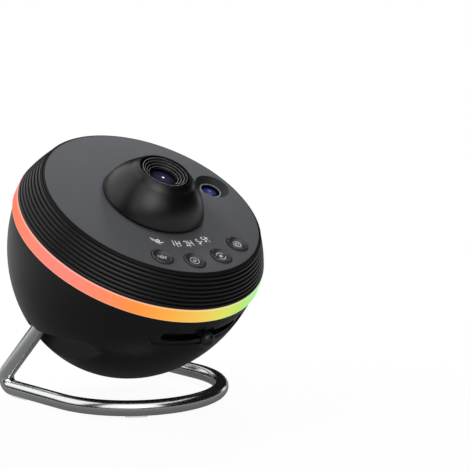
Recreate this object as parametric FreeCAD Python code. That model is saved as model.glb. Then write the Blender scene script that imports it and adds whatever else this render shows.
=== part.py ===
import FreeCAD, Part
import math
import os

# Table-top planetarium projector, millimetres, +Z up, standing on z = 0.
# The head is modelled upright about its own axis, with its origin at the centre of the colour
# band's lower edge, then leaned forward (towards +X) about that point and set on the stand.
# What belongs to the tilt hinge is modelled in "hinge axes": the same origin, but level with
# the table at rest.

V = FreeCAD.Vector
X, Y, Z = V(1, 0, 0), V(0, 1, 0), V(0, 0, 1)
ORIGIN = V(0, 0, 0)

# ---- Clearances -----------------------------------------------------------------------------
RUN = 0.08            # radial running clearance of a turning or sliding fit
FREE = 0.3            # gap between pieces that move past each other
SLIP = 0.1            # gap round a piece that is dropped into its seat
SCREW_FIT = 0.05      # gap round a screw in its pilot hole
WASHER_GAP = 0.05     # gap at each face of the hinge lug

# ---- Stand ----------------------------------------------------------------------------------
TUBE_R = 4.0          # outer radius of the bent tube
TUBE_WALL = 1.0
ARM_INSET = 19.2      # centrelines of the arms, inside the egg's widest radius
LOOP_BACK = 6.0       # loop centre behind the head centre
BEND_R = 5.0          # centreline radius of the rear bends
ARM_LEAN = 44.3       # arm from the vertical, leaning forward as it rises, degrees
PAD_PROUD = 0.5       # anti-slip pads below the tube
PAD_HEIGHT = 1.2
PAD_WIDTH = 2.6
PAD_LENGTH = 11.0
PAD_LEG_X = -45.0     # rear pads, from the head centre
PAD_ARC_DEG = 38.0    # front pads, round the loop from straight ahead

# ---- Head placement -------------------------------------------------------------------------
HEAD_X = 2.75         # head centre ahead of the origin
HEAD_RISE = 78.3      # head centre above the tube's centreline
TILT = 30.0           # lean of the head axis at rest, degrees
PIVOT_DROP = 19.3     # tilt pivot below the head centre

# ---- Lower shell ----------------------------------------------------------------------------
EGG_R = 66.0          # radius of the egg at its centre
EGG_C = 76.9          # half length of the egg along the head axis
EGG_H = 1.4           # egg centre above the band's lower edge
WALL = 2.4
CHEEK_ROOM = 3.2      # flat of the cheek recess to the lug: bush and inner washer
LEDGE_DROP = 43.1     # top of the recess below the head centre, in hinge axes
RECESS_FRONT = 19.2   # front wall of the recess, ahead of the head centre, in hinge axes
RECESS_CORNER = 7.0

# ---- Colour band ----------------------------------------------------------------------------
BAND_STAND = 1.0      # band proud of the shell
BAND_TAPER = 0.4
BAND_T = 2.8
BAND_H = 7.0
STRIP_INSET = 2.0     # inner face of the flexible lamp strip, inside the frame's edge
STRIP_T = 0.5
STRIP_LOW = 0.8
STRIP_HIGH = 6.2
STRIP_LEDS = 36
LED_W = 3.0
LED_T = 1.2

# ---- Ribbed collar and deck -----------------------------------------------------------------
DECK_TOP = 24.0
COLLAR_LEAN = 8.4     # deck's radius below the band's upper radius
DECK_T = 1.7
RIBS = 8              # full ribs on the collar, below the deck's own rim
RIB_PROUD = 0.75
COLLAR_BULGE = 0.6    # bulge of the collar from a straight cone
COLLAR_WALL = 2.0
REGISTER_T = 1.4      # ring below the deck that centres it in the collar
REGISTER_H = 3.0

# ---- Screws that hold collar, mid frame and lower shell together -----------------------------
POST_INSET = 12.0     # axes of the posts, inside the egg's widest radius
POST_DEG = (56.0, 124.0, 236.0, 304.0)
POST_OD = 3.3
POST_RIB_T = 2.0
LUG_T = 2.4
LUG_W = 9.0
CASE_SCREW_R = 1.4
CASE_HEAD_R = 2.8
CASE_HEAD_H = 2.0
CASE_BITE = 9.0       # screw length in the lower shell's post

# ---- Mid frame ------------------------------------------------------------------------------
FRAME_T = 2.0
FRAME_TOP = -1.0
FRAME_GAP = 1.2       # frame's edge to the shell's inside
FRAME_RIM_T = 1.8     # upright wall that carries the lamp strip

# ---- Lens, guide, dome ----------------------------------------------------------------------
BARREL_R = 11.6
GUIDE_WALL = 2.4
GUIDE_TOP = 38.8
RIM_R = 12.1          # bright front rim of the barrel
RIM_TOP = 43.1
RIM_H = 2.0
RIM_MOUTH_R = 11.3
BAFFLES = 7
BAFFLE_LOW_R = 6.6
BAFFLE_LOW = 39.8
LENS_R = 9.5
BARREL_LOW = 3.0
FRONT_LENS_GAP = 1.0  # lens edge below the barrel's lip
FRONT_LENS_EDGE = 2.0
FRONT_LENS_CROWN = 1.4
REAR_LENS_LOW = 7.6
REAR_LENS_H = 4.4
RETAINER_H = 1.4
SPACER_T = 0.8
LIP_H = 0.8           # lip in front of the front lens
DOME_R = 27.2
DOME_FOOT_R = 1.1     # rounding of the dome's foot
DOME_TOP = 43.5
DOME_MOUTH_R = 13.1
DOME_WALL = 2.2
DOME_WAIST = (23.4, 33.2)    # radius and height of a point on the dome's side
DOME_SHOULDER = (16.6, 40.6)
DOME_LIP = (14.9, 42.4)
HUB_T = 2.0
HUB_LOW = 25.8
CLIP_T = 1.0
CLIP_DEPTH = 0.8
CLIP_PROUD = 2.0
EAR_DEG = (0.0, 110.0, 250.0)
EAR_PITCH = 18.5
EAR_R = 3.2
EAR_T = 2.2

# ---- Film disc, drawer and drive ------------------------------------------------------------
SLOT_H = -12.0        # middle of the drawer slot on the head axis
SLOT_TALL = 5.4
SLOT_HALF = 24.6
DRAWER_HALF = 24.0
DRAWER_FLOOR_T = 1.8
DRAWER_WALL = 1.6
DRAWER_BACK = 24.0
DRAWER_TRAVEL = 46.0
FACE_SINK = 3.8       # drawer face below the outer surface
LOZENGE_HALF = 30.4
LOZENGE_TALL = 11.0
LOZENGE_DEPTH = 0.9
LOZENGE_BEVEL = 0.8   # bevel round the lozenge's lip
WELL_R = 6.2          # round finger well about the knob
WELL_DEPTH = 3.0
PAD_IN = 2.4          # extra wall behind the lozenge
PAD_MARGIN = 2.0      # extra wall above and below the lozenge
PAD_END = 4.0
KNOB_R = 3.8          # ball of the pull knob
KNOB_NECK_R = 2.2
KNOB_PROUD = 4.8      # ball beyond the egg's widest radius
KNOB_SPIGOT_T = 0.6   # spigot slimmer than the neck
KNOB_SPIGOT_L = 7.0
KNOB_SINK = 0.6       # flat spot under the neck
MODULE = 0.8
DISC_TEETH = 50
PINION_TEETH = 14
MESH_SLACK = 0.12     # added to the centre distance
TOOTH_THIN = 0.14     # taken off each tooth's thickness
ADDENDUM = 0.85       # in modules
DEDENDUM = 1.25
GEAR_T = 2.4
SKIRT_R = 18.0
FILM_R = 17.6
FILM_T = 1.0
FILM_CLEAR_R = 16.2
MOTOR_R = 10.0
MOTOR_H = 13.0
SHAFT_R = 1.0

# ---- Projection lamp ------------------------------------------------------------------------
TABLE_T = 2.0
TABLE_EDGE = 0.1      # table beyond its pillars
TABLE_U = (-24.0, 44.0)
RAIL_GAP = 0.15       # drawer to its rails
RAIL_T = 1.8
RAIL_SHORT = 2.0      # rails end before the table's front
RAIL_LIP = 1.3
RAIL_LIP_T = 1.0
PILLAR_U = 16.0
PILLAR_GAP = 0.75     # pillar to the drawer's rail
PILLAR_R = 2.9
PILLAR_SCREW_R = 1.1
PILLAR_SCREW_DEEP = 7.0
LAMP_BORE = 14.0
LAMP_WALL = 2.0
LAMP_LOW = -48.0
FLANGE_R = 20.0
FLANGE_T = 2.0
CONDENSER_LOW = -30.0
CONDENSER_EDGE = 3.0
CONDENSER_CROWN = 4.5
SEAT_T = 1.2
SEAT_LIP = 1.2        # seat of the condenser inside its bore
LAMP_BOARD_R = 11.0
BOARD_T = 1.6
EMITTER = 5.0
EMITTER_H = 2.0
SINK_HALF = 18.0
SINK_BASE = 3.0
SINK_FINS = 7
SINK_FIN_T = 1.4
SINK_FIN_H = 9.0

# ---- Meteor lens ----------------------------------------------------------------------------
METEOR_U = -5.3
METEOR_INSET = 12.5   # from the deck's edge
DISH_R = 9.5
DISH_DEPTH = 2.8
DISH_FOOT_R = 6.3
DISH_WALL = 1.5
BEZEL_R = 6.0
BEZEL_T = 0.75
BEZEL_LOW = 18.0
BEZEL_HIGH = 21.4
METEOR_LENS_EDGE = 1.4
METEOR_LENS_CROWN = 1.4
HOUSING_WALL = 1.6
MASK_LOW = 9.0
MASK_T = 0.8
METEOR_BOARD_T = 1.2

# ---- Buttons, key board and indicators ------------------------------------------------------
BUTTON_NAMES = ("button_meteor", "button_lamp", "button_rotation", "button_power")
BUTTON_DEG = (-32.0, -10.7, 10.7, 32.0)
BUTTON_INSET = 10.2   # keys' axes from the deck's edge
BUTTON_R = 5.6
BUTTON_GAP = 0.4
BUTTON_CROWN = 1.0    # depth of the dished top
BUTTON_PROUD = 0.2
BUTTON_EDGE = 0.5
FLANGE_OUT = 0.9
BUTTON_FLANGE_T = 0.8
STEM_R = 2.4
TIP_R = 1.7
BUTTON_TRAVEL = 0.8
SWITCH_W = 6.0
SWITCH_H = 3.5
SWITCH_WELL = 2.8
KEY_BOARD_LOW = 11.5
KEY_BOARD_INNER = 15.0   # board's edges from the keys' axes
KEY_BOARD_OUTER = 5.5
KEY_BOARD_HALF_DEG = 47.0
KEY_POST_DEG = (-43.0, 0.0, 43.0)
KEY_POST_INSET = 6.8
KEY_POST_R = 2.4
KEY_SCREW_R = 0.9
PIPE_DEG = (-32.0, -16.0, -5.0, 6.0, 17.0)
PIPE_INSET = 11.2
PIPE_R = 0.7
PIPE_BAR_T = 1.4
PIPE_BAR_W = 1.0
PIPE_BAR_END_DEG = 0.5   # bar beyond the outer rods' centres
CHIP_H = 0.8
CHIP_W = 1.8

# ---- Power inlet ----------------------------------------------------------------------------
INLET_H = -14.0
INLET_W = 9.0
INLET_T = 3.2
INLET_L = 7.4
INLET_SINK = 1.0
INLET_WALL = 0.3
INLET_LEAD = 3.9      # mouth to the outer end of the power board
POWER_BOARD_L = 22.0
POWER_BOARD_W = 22.0
POWER_POST_V = 8.0
POWER_POST_R = 2.4
COIL_BACK = 8.0       # choke on the power board, from the board's inner end
COIL_L = 6.0
COIL_H = 3.0

# ---- Tilt hinge -----------------------------------------------------------------------------
BOLT_R = 3.0
LUG_THICK = 5.0
LUG_EYE_R = 6.5
LUG_BLADE_W = 7.0
ARM_END = 30.0        # upper end of the tube, from the pivot
CAP_T = 1.2           # collar of the lug that closes the tube's end
PLUG_L = 12.0
WASHER_T = 0.8
WASHER_R = 6.4
BOLT_HEAD_R = 5.0
BOLT_HEAD_H = 3.0
NUT_H = 3.4
NUT_AF_R = 5.2        # corner radius of the hexagon
BRACKET_T = 2.0
BRACKET_HALF = 9.0
BRACKET_TOP = 9.0     # bracket above the pivot
BRACKET_REACH = 9.4   # its lower edge below the top of the recess
BRACKET_SCREW_UP = 3.0
BRACKET_SCREW_X = 5.0
BRACKET_SCREW_R = 1.2
BRACKET_BITE = 1.5
TILT_RANGE = 60.0     # how far the head leans further forward
SLOT_SIDE = 0.3       # room beside the lug in the ledge slot
NOTCH_SIDE = 0.5      # room beside the tube where it enters the shell
NOTCH_SPAN = (29.0, 54.0)    # from straight down, towards the rear

# ---- Derived sizes --------------------------------------------------------------------------
LOOP_R = EGG_R - ARM_INSET     # radius of the front loop, and half the distance between legs
HEAD_Z = PAD_PROUD + TUBE_R + HEAD_RISE
BAND_R = EGG_R + BAND_STAND
BAND_TOP_R = BAND_R - BAND_TAPER
BAND_INNER_R = BAND_R - BAND_T
DECK_R = BAND_TOP_R - COLLAR_LEAN
FRAME_R = EGG_R - WALL - FRAME_GAP
STRIP_R = FRAME_R - STRIP_INSET
POST_R = EGG_R - POST_INSET
METEOR_V = DECK_R - METEOR_INSET
BUTTON_PITCH = DECK_R - BUTTON_INSET
KEY_BOARD_IN = BUTTON_PITCH - KEY_BOARD_INNER
KEY_BOARD_OUT = BUTTON_PITCH + KEY_BOARD_OUTER
KEY_POST_PITCH = BUTTON_PITCH - KEY_POST_INSET
PIPE_PITCH = BUTTON_PITCH - PIPE_INSET
FRONT_LENS_LOW = BAFFLE_LOW - LIP_H - FRONT_LENS_GAP - FRONT_LENS_EDGE
KNOB_OUT = EGG_R + KNOB_PROUD
BRACKET_FOOT = LEDGE_DROP + BRACKET_REACH
BRACKET_SCREW_DROP = BRACKET_FOOT - BRACKET_SCREW_UP
FRAME_LOW = FRAME_TOP - FRAME_T
GUIDE_IN = BARREL_R + RUN
GUIDE_OUT = GUIDE_IN + GUIDE_WALL
HUB_IN = GUIDE_OUT + RUN
DECK_LOW = DECK_TOP - DECK_T
SLOT_LOW = SLOT_H - SLOT_TALL / 2
SLOT_HIGH = SLOT_H + SLOT_TALL / 2
DRAWER_LOW = SLOT_LOW + 0.2
DRAWER_HIGH = SLOT_HIGH - 0.2
FLOOR_TOP = DRAWER_LOW + DRAWER_FLOOR_T
TABLE_TOP = DRAWER_LOW - 0.2
TABLE_LOW = TABLE_TOP - TABLE_T
PILLAR_V = DRAWER_HALF + RAIL_GAP + RAIL_T + PILLAR_GAP + PILLAR_R
TABLE_HALF_V = PILLAR_V + PILLAR_R + TABLE_EDGE
GEAR_LOW = FLOOR_TOP + 0.2
MESH_DISTANCE = MODULE * (DISC_TEETH + PINION_TEETH) / 2 + MESH_SLACK
KEY_BOARD_TOP = KEY_BOARD_LOW + BOARD_T
SWITCH_TOP = KEY_BOARD_TOP + SWITCH_H
LUG_IN = LOOP_R - LUG_THICK / 2
LUG_OUT = LOOP_R + LUG_THICK / 2
CHEEK_Y = LUG_IN - CHEEK_ROOM  # flat of the cheek recess, from the middle
CHEEK_IN = CHEEK_Y - WALL
INLET_TOP = INLET_H + INLET_T / 2
INLET_LOW = INLET_H - INLET_T / 2


# ---- Small tools ----------------------------------------------------------------------------
def upright(shape):
    """Return the shape with a positive volume."""
    if shape.Volume < 0:
        shape.reverse()
    return shape


def line(p, q):
    return Part.makeLine(V(p[0], 0, p[1]), V(q[0], 0, q[1]))


def arc(p, m, q):
    return Part.Arc(V(p[0], 0, p[1]), V(m[0], 0, m[1]), V(q[0], 0, q[1])).toShape()


def cap(r, h, crown):
    """Spherical edge from the axis out to radius r, at height h there and h + crown on the axis."""
    sphere_r = (r * r + crown * crown) / (2 * abs(crown))
    sag = sphere_r - math.sqrt(sphere_r * sphere_r - r * r / 4)
    middle = (r / 2, h + crown - math.copysign(sag, crown))
    return arc((0, h + crown), middle, (r, h))


def lathe(edges, u=0.0, v=0.0):
    """Turn a closed outline of (radius, height) edges about the axis, then move it to u, v."""
    outline = Part.Wire(Part.__sortEdges__(edges))
    solid = upright(Part.Face(outline).revolve(ORIGIN, Z, 360))
    solid.translate(V(u, v, 0))
    return solid


def turned(points, u=0.0, v=0.0):
    """Turn a closed polygon of (radius, height) points."""
    closed = list(points) + [points[0]]
    return lathe([line(p, q) for p, q in zip(closed, closed[1:])], u, v)


def disc(r, low, high, u=0.0, v=0.0):
    return Part.makeCylinder(r, high - low, V(u, v, low))


def ring(r_in, r_out, low, high, u=0.0, v=0.0):
    return disc(r_out, low, high, u, v).cut(disc(r_in, low, high, u, v))


def block(x, y, z):
    """Box from three (low, high) pairs."""
    return Part.makeBox(x[1] - x[0], y[1] - y[0], z[1] - z[0], V(x[0], y[0], z[0]))


def polar(pitch, degrees):
    a = math.radians(degrees)
    return pitch * math.cos(a), pitch * math.sin(a)


def spun(shape, degrees):
    copy = shape.copy()
    copy.rotate(ORIGIN, Z, degrees)
    return copy


def joined(shapes):
    """Fuse shapes into one clean solid."""
    whole = shapes[0].fuse(shapes[1:]) if len(shapes) > 1 else shapes[0]
    return whole.removeSplitter()


def group(shapes):
    return Part.makeCompound(shapes)


def obround(half, tall, x_low, x_high, h):
    """Flat slot with round ends, running along Y, pushed through along X."""
    end = half - tall / 2
    bar = block((x_low, x_high), (-end, end), (h - tall / 2, h + tall / 2))
    caps = [Part.makeCylinder(tall / 2, x_high - x_low, V(x_low, s * end, h), X) for s in (-1, 1)]
    return joined([bar] + caps)


def screw(shaft_r, length, head_r, head_h):
    """Screw along -Z with its head seated on z = 0 and a hexagon socket in the head."""
    body = joined([disc(head_r, 0, head_h), disc(shaft_r, -length, 0)])
    socket = hexagon(head_r * 0.5, head_h * 0.5, head_h)
    return body.cut(socket)


def hexagon(corner_r, low, high):
    """Six-sided prism along Z."""
    corners = [V(*polar(corner_r, 60 * k), low) for k in range(7)]
    return Part.Face(Part.makePolygon(corners)).extrude(V(0, 0, high - low))


def in_head(shape):
    """Place a shape from the head's own axes into the part's frame."""
    placed = shape.copy()
    placed.rotate(ORIGIN, Y, TILT)
    placed.translate(V(HEAD_X, 0, HEAD_Z))
    return placed


def level(shape):
    """Turn a shape from hinge axes into the head's own axes."""
    turned_back = shape.copy()
    turned_back.rotate(ORIGIN, Y, -TILT)
    return turned_back


def other_side(shape):
    return shape.mirror(ORIGIN, Y)


# ---- Stand ----------------------------------------------------------------------------------
def bent_tube(r):
    """Solid rod of radius r along the stand's centreline, in hinge axes."""
    rise = HEAD_RISE - PIVOT_DROP
    lean = math.radians(ARM_LEAN)
    corner_x = -rise * math.tan(lean)
    turn = 90 + ARM_LEAN
    reach = BEND_R * math.tan(math.radians(turn / 2))
    up = V(math.sin(lean), 0, math.cos(lean))
    low = -HEAD_RISE
    leg_start = V(corner_x + reach, -LOOP_R, low)
    arm_start = V(corner_x, -LOOP_R, low) + up * reach
    arm_length = rise / math.cos(lean) - reach - ARM_END
    leg_face = Part.Face(Part.Wire(Part.makeCircle(r, leg_start, X)))
    bend = upright(leg_face.revolve(leg_start + V(0, 0, BEND_R), Y, turn))
    arm = Part.makeCylinder(r, arm_length, arm_start, up)
    leg = Part.makeCylinder(r, -LOOP_BACK - leg_start.x, leg_start, X)
    loop_face = Part.Face(Part.Wire(Part.makeCircle(r, V(-LOOP_BACK, -LOOP_R, low), X)))
    loop = upright(loop_face.revolve(V(-LOOP_BACK, 0, low), Z, 180))
    side = [arm, bend, leg]
    return joined(side + [other_side(s) for s in side] + [loop])


def stand_tube():
    return bent_tube(TUBE_R).cut(bent_tube(TUBE_R - TUBE_WALL))


def foot_pads():
    """Anti-slip pads that cradle the tube from below, two on the legs and two on the loop."""
    floor = -HEAD_RISE - TUBE_R - PAD_PROUD
    top = floor + PAD_HEIGHT
    tube = bent_tube(TUBE_R + SCREW_FIT)
    half = math.degrees(PAD_LENGTH / LOOP_R / 2)
    arc_pad = ring(LOOP_R - PAD_WIDTH / 2, LOOP_R + PAD_WIDTH / 2, floor, top)
    wedge = Part.makeCylinder(LOOP_R * 2, PAD_HEIGHT, V(0, 0, floor), Z, 2 * half)
    arc_pad = spun(arc_pad.common(wedge), PAD_ARC_DEG - half)
    arc_pad.translate(V(-LOOP_BACK, 0, 0))
    leg_pad = block((PAD_LEG_X, PAD_LEG_X + PAD_LENGTH),
                    (LOOP_R - PAD_WIDTH / 2, LOOP_R + PAD_WIDTH / 2), (floor, top))
    pads = [pad.cut(tube) for pad in (arc_pad, leg_pad)]
    return group(pads + [other_side(pad) for pad in pads])


# ---- Tilt hinge, in hinge axes, modelled on the +Y side --------------------------------------
def along_y(shape):
    """Lay a shape that was made along Z so that it runs along +Y through the pivot."""
    laid = shape.copy()
    laid.rotate(ORIGIN, X, -90)
    laid.translate(V(0, 0, -PIVOT_DROP))
    return laid


def arm_lug():
    """Eye, blade, collar and plug that end each arm of the stand."""
    eye = disc(LUG_EYE_R, LUG_IN, LUG_OUT)
    blade = block((-LUG_BLADE_W / 2, LUG_BLADE_W / 2), (0, ARM_END - CAP_T), (LUG_IN, LUG_OUT))
    cap = Part.makeCylinder(TUBE_R, CAP_T, V(0, ARM_END - CAP_T, LOOP_R), Y)
    plug = Part.makeCylinder(TUBE_R - TUBE_WALL - SCREW_FIT, PLUG_L, V(0, ARM_END, LOOP_R), Y)
    lug = joined([eye, blade, cap, plug]).cut(disc(BOLT_R + RUN, LUG_IN, LUG_OUT))
    lug.rotate(ORIGIN, Z, -ARM_LEAN)
    lug = lug.mirror(ORIGIN, X)
    return along_y(lug)


def pivot_bolt():
    head_low = LUG_OUT + WASHER_GAP + WASHER_T
    head = disc(BOLT_HEAD_R, head_low, head_low + BOLT_HEAD_H)
    shaft = disc(BOLT_R, CHEEK_IN - BRACKET_T - NUT_H, head_low)
    socket = hexagon(BOLT_HEAD_R * 0.5, head_low + BOLT_HEAD_H / 2, head_low + BOLT_HEAD_H)
    return along_y(joined([head, shaft]).cut(socket))


def friction_washers():
    bore = BOLT_R + SCREW_FIT
    outer = LUG_OUT + WASHER_GAP
    inner = LUG_IN - WASHER_GAP
    return along_y(group([ring(bore, WASHER_R, outer, outer + WASHER_T),
                          ring(bore, WASHER_R, inner - WASHER_T, inner)]))


def pivot_bush():
    """Spacer between the bracket and the inner washer."""
    high = LUG_IN - WASHER_GAP - WASHER_T
    return along_y(ring(BOLT_R + SCREW_FIT, WASHER_R, CHEEK_IN, high))


def pivot_nut():
    high = CHEEK_IN - BRACKET_T
    nut = hexagon(NUT_AF_R, high - NUT_H, high)
    return along_y(nut.cut(disc(BOLT_R + SCREW_FIT, high - NUT_H, high)))


def bracket_screw_holes(r):
    """Rods at the bracket's two screws, through the bracket and into the cheek."""
    return [Part.makeCylinder(r, BRACKET_T + BRACKET_BITE,
                              V(s * BRACKET_SCREW_X, CHEEK_IN - BRACKET_T, -BRACKET_SCREW_DROP), Y)
            for s in (-1, 1)]


def hinge_bracket():
    """Steel plate that lies on the inside of the cheek and carries the pivot."""
    plate = block((-BRACKET_HALF, BRACKET_HALF), (CHEEK_IN - BRACKET_T, CHEEK_IN),
                  (-BRACKET_FOOT, BRACKET_TOP - PIVOT_DROP))
    bore = Part.makeCylinder(BOLT_R + SCREW_FIT, BRACKET_T,
                             V(0, CHEEK_IN - BRACKET_T, -PIVOT_DROP), Y)
    return plate.cut(group([bore] + bracket_screw_holes(BRACKET_SCREW_R + SCREW_FIT)))


def bracket_screws():
    made = []
    for s in (-1, 1):
        one = screw(BRACKET_SCREW_R, BRACKET_T + BRACKET_BITE, BRACKET_SCREW_R * 2, 1.4)
        one.rotate(ORIGIN, X, 90)
        one.translate(V(s * BRACKET_SCREW_X, CHEEK_IN - BRACKET_T, -BRACKET_SCREW_DROP))
        made.append(one)
    return group(made + [other_side(one) for one in made])


# ---- Lower shell ----------------------------------------------------------------------------
def bowl(sink):
    """Egg below the band, shrunk inwards by sink."""
    a, c = EGG_R - sink, EGG_C - sink
    egg = Part.Ellipse(V(0, 0, EGG_H + c), V(a, 0, EGG_H), V(0, 0, EGG_H))
    start = math.acos(-EGG_H / c)
    side = Part.ArcOfEllipse(egg, start, math.pi).toShape()
    rim = (a * math.sin(start), 0)
    return lathe([side, line(rim, (0, 0)), line((0, 0), (0, EGG_H - c))])


def recess(grow):
    """Space cut out of each cheek, open to the rear and below, grown outwards by grow."""
    far = EGG_C * 1.5
    corner = RECESS_CORNER + grow
    space = block((-far, RECESS_FRONT + grow), (CHEEK_Y - grow, far), (-far, grow - LEDGE_DROP))
    edge = [e for e in space.Edges
            if abs(e.CenterOfMass.x - RECESS_FRONT - grow) < 1e-6
            and abs(e.CenterOfMass.z - grow + LEDGE_DROP) < 1e-6]
    space = space.makeFillet(corner, edge)
    return level(group([space, other_side(space)]))


def arm_room():
    """Slot in the ledge for the lug's blade, and the notch where the tube enters."""
    pivot = V(0, 0, -PIVOT_DROP)
    deep = LEDGE_DROP - PIVOT_DROP
    lean = math.radians(ARM_LEAN)
    swing = math.radians(TILT_RANGE) - lean
    rear = deep * math.tan(lean) + LUG_BLADE_W / 2 / math.cos(lean) + 2 * FREE
    front = deep * math.tan(swing) + LUG_BLADE_W / 2 / math.cos(swing) + 2 * FREE
    slot = block((-rear, front), (LUG_IN - SLOT_SIDE, LUG_OUT + SLOT_SIDE),
                 (-LEDGE_DROP - WALL, -LEDGE_DROP + 2 * WALL))
    side = TUBE_R + NOTCH_SIDE
    inner_r = ARM_END - CAP_T - FREE
    base = pivot + V(0, LOOP_R - side, 0)
    span = NOTCH_SPAN[1] - NOTCH_SPAN[0]
    notch = Part.makeCylinder(EGG_C, 2 * side, base, Y, span)
    core = Part.makeCylinder(inner_r, 2 * side, base, Y)
    notch.rotate(base, Y, 90 + NOTCH_SPAN[0] - notch_start(notch, base))
    notch = notch.cut(core)
    return level(group([slot, other_side(slot), notch, other_side(notch)]))


def notch_start(notch, base):
    """Angle at which a cylinder slice starts, measured about +Y from +X through -Z, degrees."""
    radial = [v.Point - base for v in notch.Vertexes if (v.Point - base).Length > EGG_C / 2]
    angles = [math.degrees(math.atan2(-p.z, p.x)) % 360 for p in radial]
    return min(angles)


def dished_egg():
    """Egg with the lozenge recess in its front, bevelled round the lip."""
    skin = bowl(-WALL).cut(bowl(LOZENGE_DEPTH))
    lozenge = obround(LOZENGE_HALF, LOZENGE_TALL, EGG_R / 2, EGG_R * 1.2, SLOT_H)
    egg = bowl(0).cut(lozenge.common(skin))
    inside = bowl(LOZENGE_DEPTH / 4)
    lip = []
    for edge in egg.Edges:
        middle = edge.valueAt((edge.FirstParameter + edge.LastParameter) / 2)
        beside = abs(middle.z - SLOT_H) < LOZENGE_TALL / 2 + SLIP and middle.x > EGG_R / 2
        if beside and not inside.isInside(middle, 1e-3, True):
            lip.append(edge)
    return egg.makeChamfer(LOZENGE_BEVEL, lip)


def drawer_cuts():
    """Finger well and slot, in the front of the shell."""
    far = EGG_R * 1.2
    well = Part.makeCylinder(WELL_R, far, V(EGG_R - WELL_DEPTH, 0, SLOT_H), X)
    slot = obround(SLOT_HALF, SLOT_TALL, EGG_R / 2, far, SLOT_H)
    return [well, slot]


def case_post_axes():
    return [polar(POST_R, d) for d in POST_DEG]


def lower_shell():
    cavity = bowl(WALL)
    pad_half = LOZENGE_TALL / 2 + PAD_MARGIN
    pad_zone = block((EGG_R / 2, EGG_R), (-LOZENGE_HALF - PAD_END, LOZENGE_HALF + PAD_END),
                     (SLOT_H - pad_half, SLOT_H + pad_half))
    cavity = cavity.cut(pad_zone.cut(bowl(WALL + PAD_IN)))
    cavity = cavity.cut(recess(WALL))
    shell = dished_egg().cut(recess(0)).cut(cavity)
    foot = FRAME_LOW - CASE_BITE - 3
    posts = [disc(POST_OD, foot, FRAME_LOW, u, v) for u, v in case_post_axes()]
    rib = block((POST_R, EGG_R), (-POST_RIB_T / 2, POST_RIB_T / 2), (foot, FRAME_LOW))
    ribs = [spun(rib, d).common(bowl(WALL / 2)) for d in POST_DEG]
    shell = joined([shell] + posts + ribs)
    pilots = [disc(CASE_SCREW_R + SCREW_FIT, FRAME_LOW - CASE_BITE - 1, FRAME_LOW, u, v)
              for u, v in case_post_axes()]
    inlet = obround(INLET_W / 2 + FREE, INLET_T + 2 * FREE, -EGG_R * 1.2, -EGG_R / 2, INLET_H)
    screws = bracket_screw_holes(BRACKET_SCREW_R + SCREW_FIT)
    screws = level(group(screws + [other_side(s) for s in screws]))
    shell = shell.cut(drawer_cuts() + pilots + [inlet, screws, arm_room()])
    return max(shell.Solids, key=lambda s: s.Volume)


# ---- Colour band and collar -----------------------------------------------------------------
def light_band():
    return turned([(BAND_INNER_R, 0), (BAND_R, 0), (BAND_TOP_R, BAND_H), (BAND_INNER_R, BAND_H)])


def band_led_strip():
    """Flexible strip with its lamps, in one piece."""
    strip = ring(STRIP_R, STRIP_R + STRIP_T, STRIP_LOW, STRIP_HIGH)
    mid = (STRIP_LOW + STRIP_HIGH) / 2
    lamp = block((STRIP_R + STRIP_T / 2, STRIP_R + STRIP_T + LED_T), (-LED_W / 2, LED_W / 2),
                 (mid - LED_W / 2, mid + LED_W / 2))
    return joined([strip] + [spun(lamp, 360 / STRIP_LEDS * k) for k in range(STRIP_LEDS)])


def collar_point(h, sink=0.0):
    """Point on the collar's root line at height h: a cone with a slight bulge."""
    share = (h - BAND_H) / (DECK_TOP - BAND_H)
    bulge = COLLAR_BULGE * 4 * share * (1 - share)
    foot, top = BAND_TOP_R - RIB_PROUD, DECK_R - RIB_PROUD
    return foot + (top - foot) * share + bulge - sink, h


def rib_arc(low, high):
    """Round rib between two heights."""
    middle = collar_point((low + high) / 2)
    return arc(collar_point(low), (middle[0] + RIB_PROUD, middle[1]), collar_point(high))


def ribbed_collar():
    pitch = (DECK_LOW - BAND_H) / RIBS
    heights = [BAND_H + pitch * k for k in range(RIBS + 1)]
    outside = [rib_arc(a, b) for a, b in zip(heights, heights[1:])]
    top_in = (register_r() + SLIP, DECK_LOW)
    foot_in = (BAND_TOP_R - RIB_PROUD - COLLAR_WALL, BAND_H)
    edges = outside + [line(collar_point(DECK_LOW), top_in), line(top_in, foot_in),
                       line(foot_in, collar_point(BAND_H))]
    collar = lathe(edges)
    lug = block((POST_R - POST_OD - 1, foot_in[0] + 1), (-LUG_W / 2, LUG_W / 2),
                (BAND_H + 0.2, BAND_H + 0.2 + LUG_T))
    lugs = [spun(lug, d) for d in POST_DEG]
    holes = [disc(CASE_SCREW_R + FREE, BAND_H, BAND_H + 2 * LUG_T, u, v)
             for u, v in case_post_axes()]
    return joined([collar] + lugs).cut(holes)


def case_screws():
    seat = BAND_H + 0.2 + LUG_T
    length = seat - FRAME_LOW + CASE_BITE
    made = []
    for u, v in case_post_axes():
        one = screw(CASE_SCREW_R, length, CASE_HEAD_R, CASE_HEAD_H)
        one.translate(V(u, v, seat))
        made.append(one)
    return group(made)


# ---- Deck -----------------------------------------------------------------------------------
def register_r():
    """Outer radius of the ring below the deck."""
    return DECK_R - COLLAR_WALL - RIB_PROUD


def button_axes():
    return [polar(BUTTON_PITCH, d) for d in BUTTON_DEG]


def pipe_axes():
    return [polar(PIPE_PITCH, d) for d in PIPE_DEG]


def key_post_axes():
    return [polar(KEY_POST_PITCH, d) for d in KEY_POST_DEG]


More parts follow.
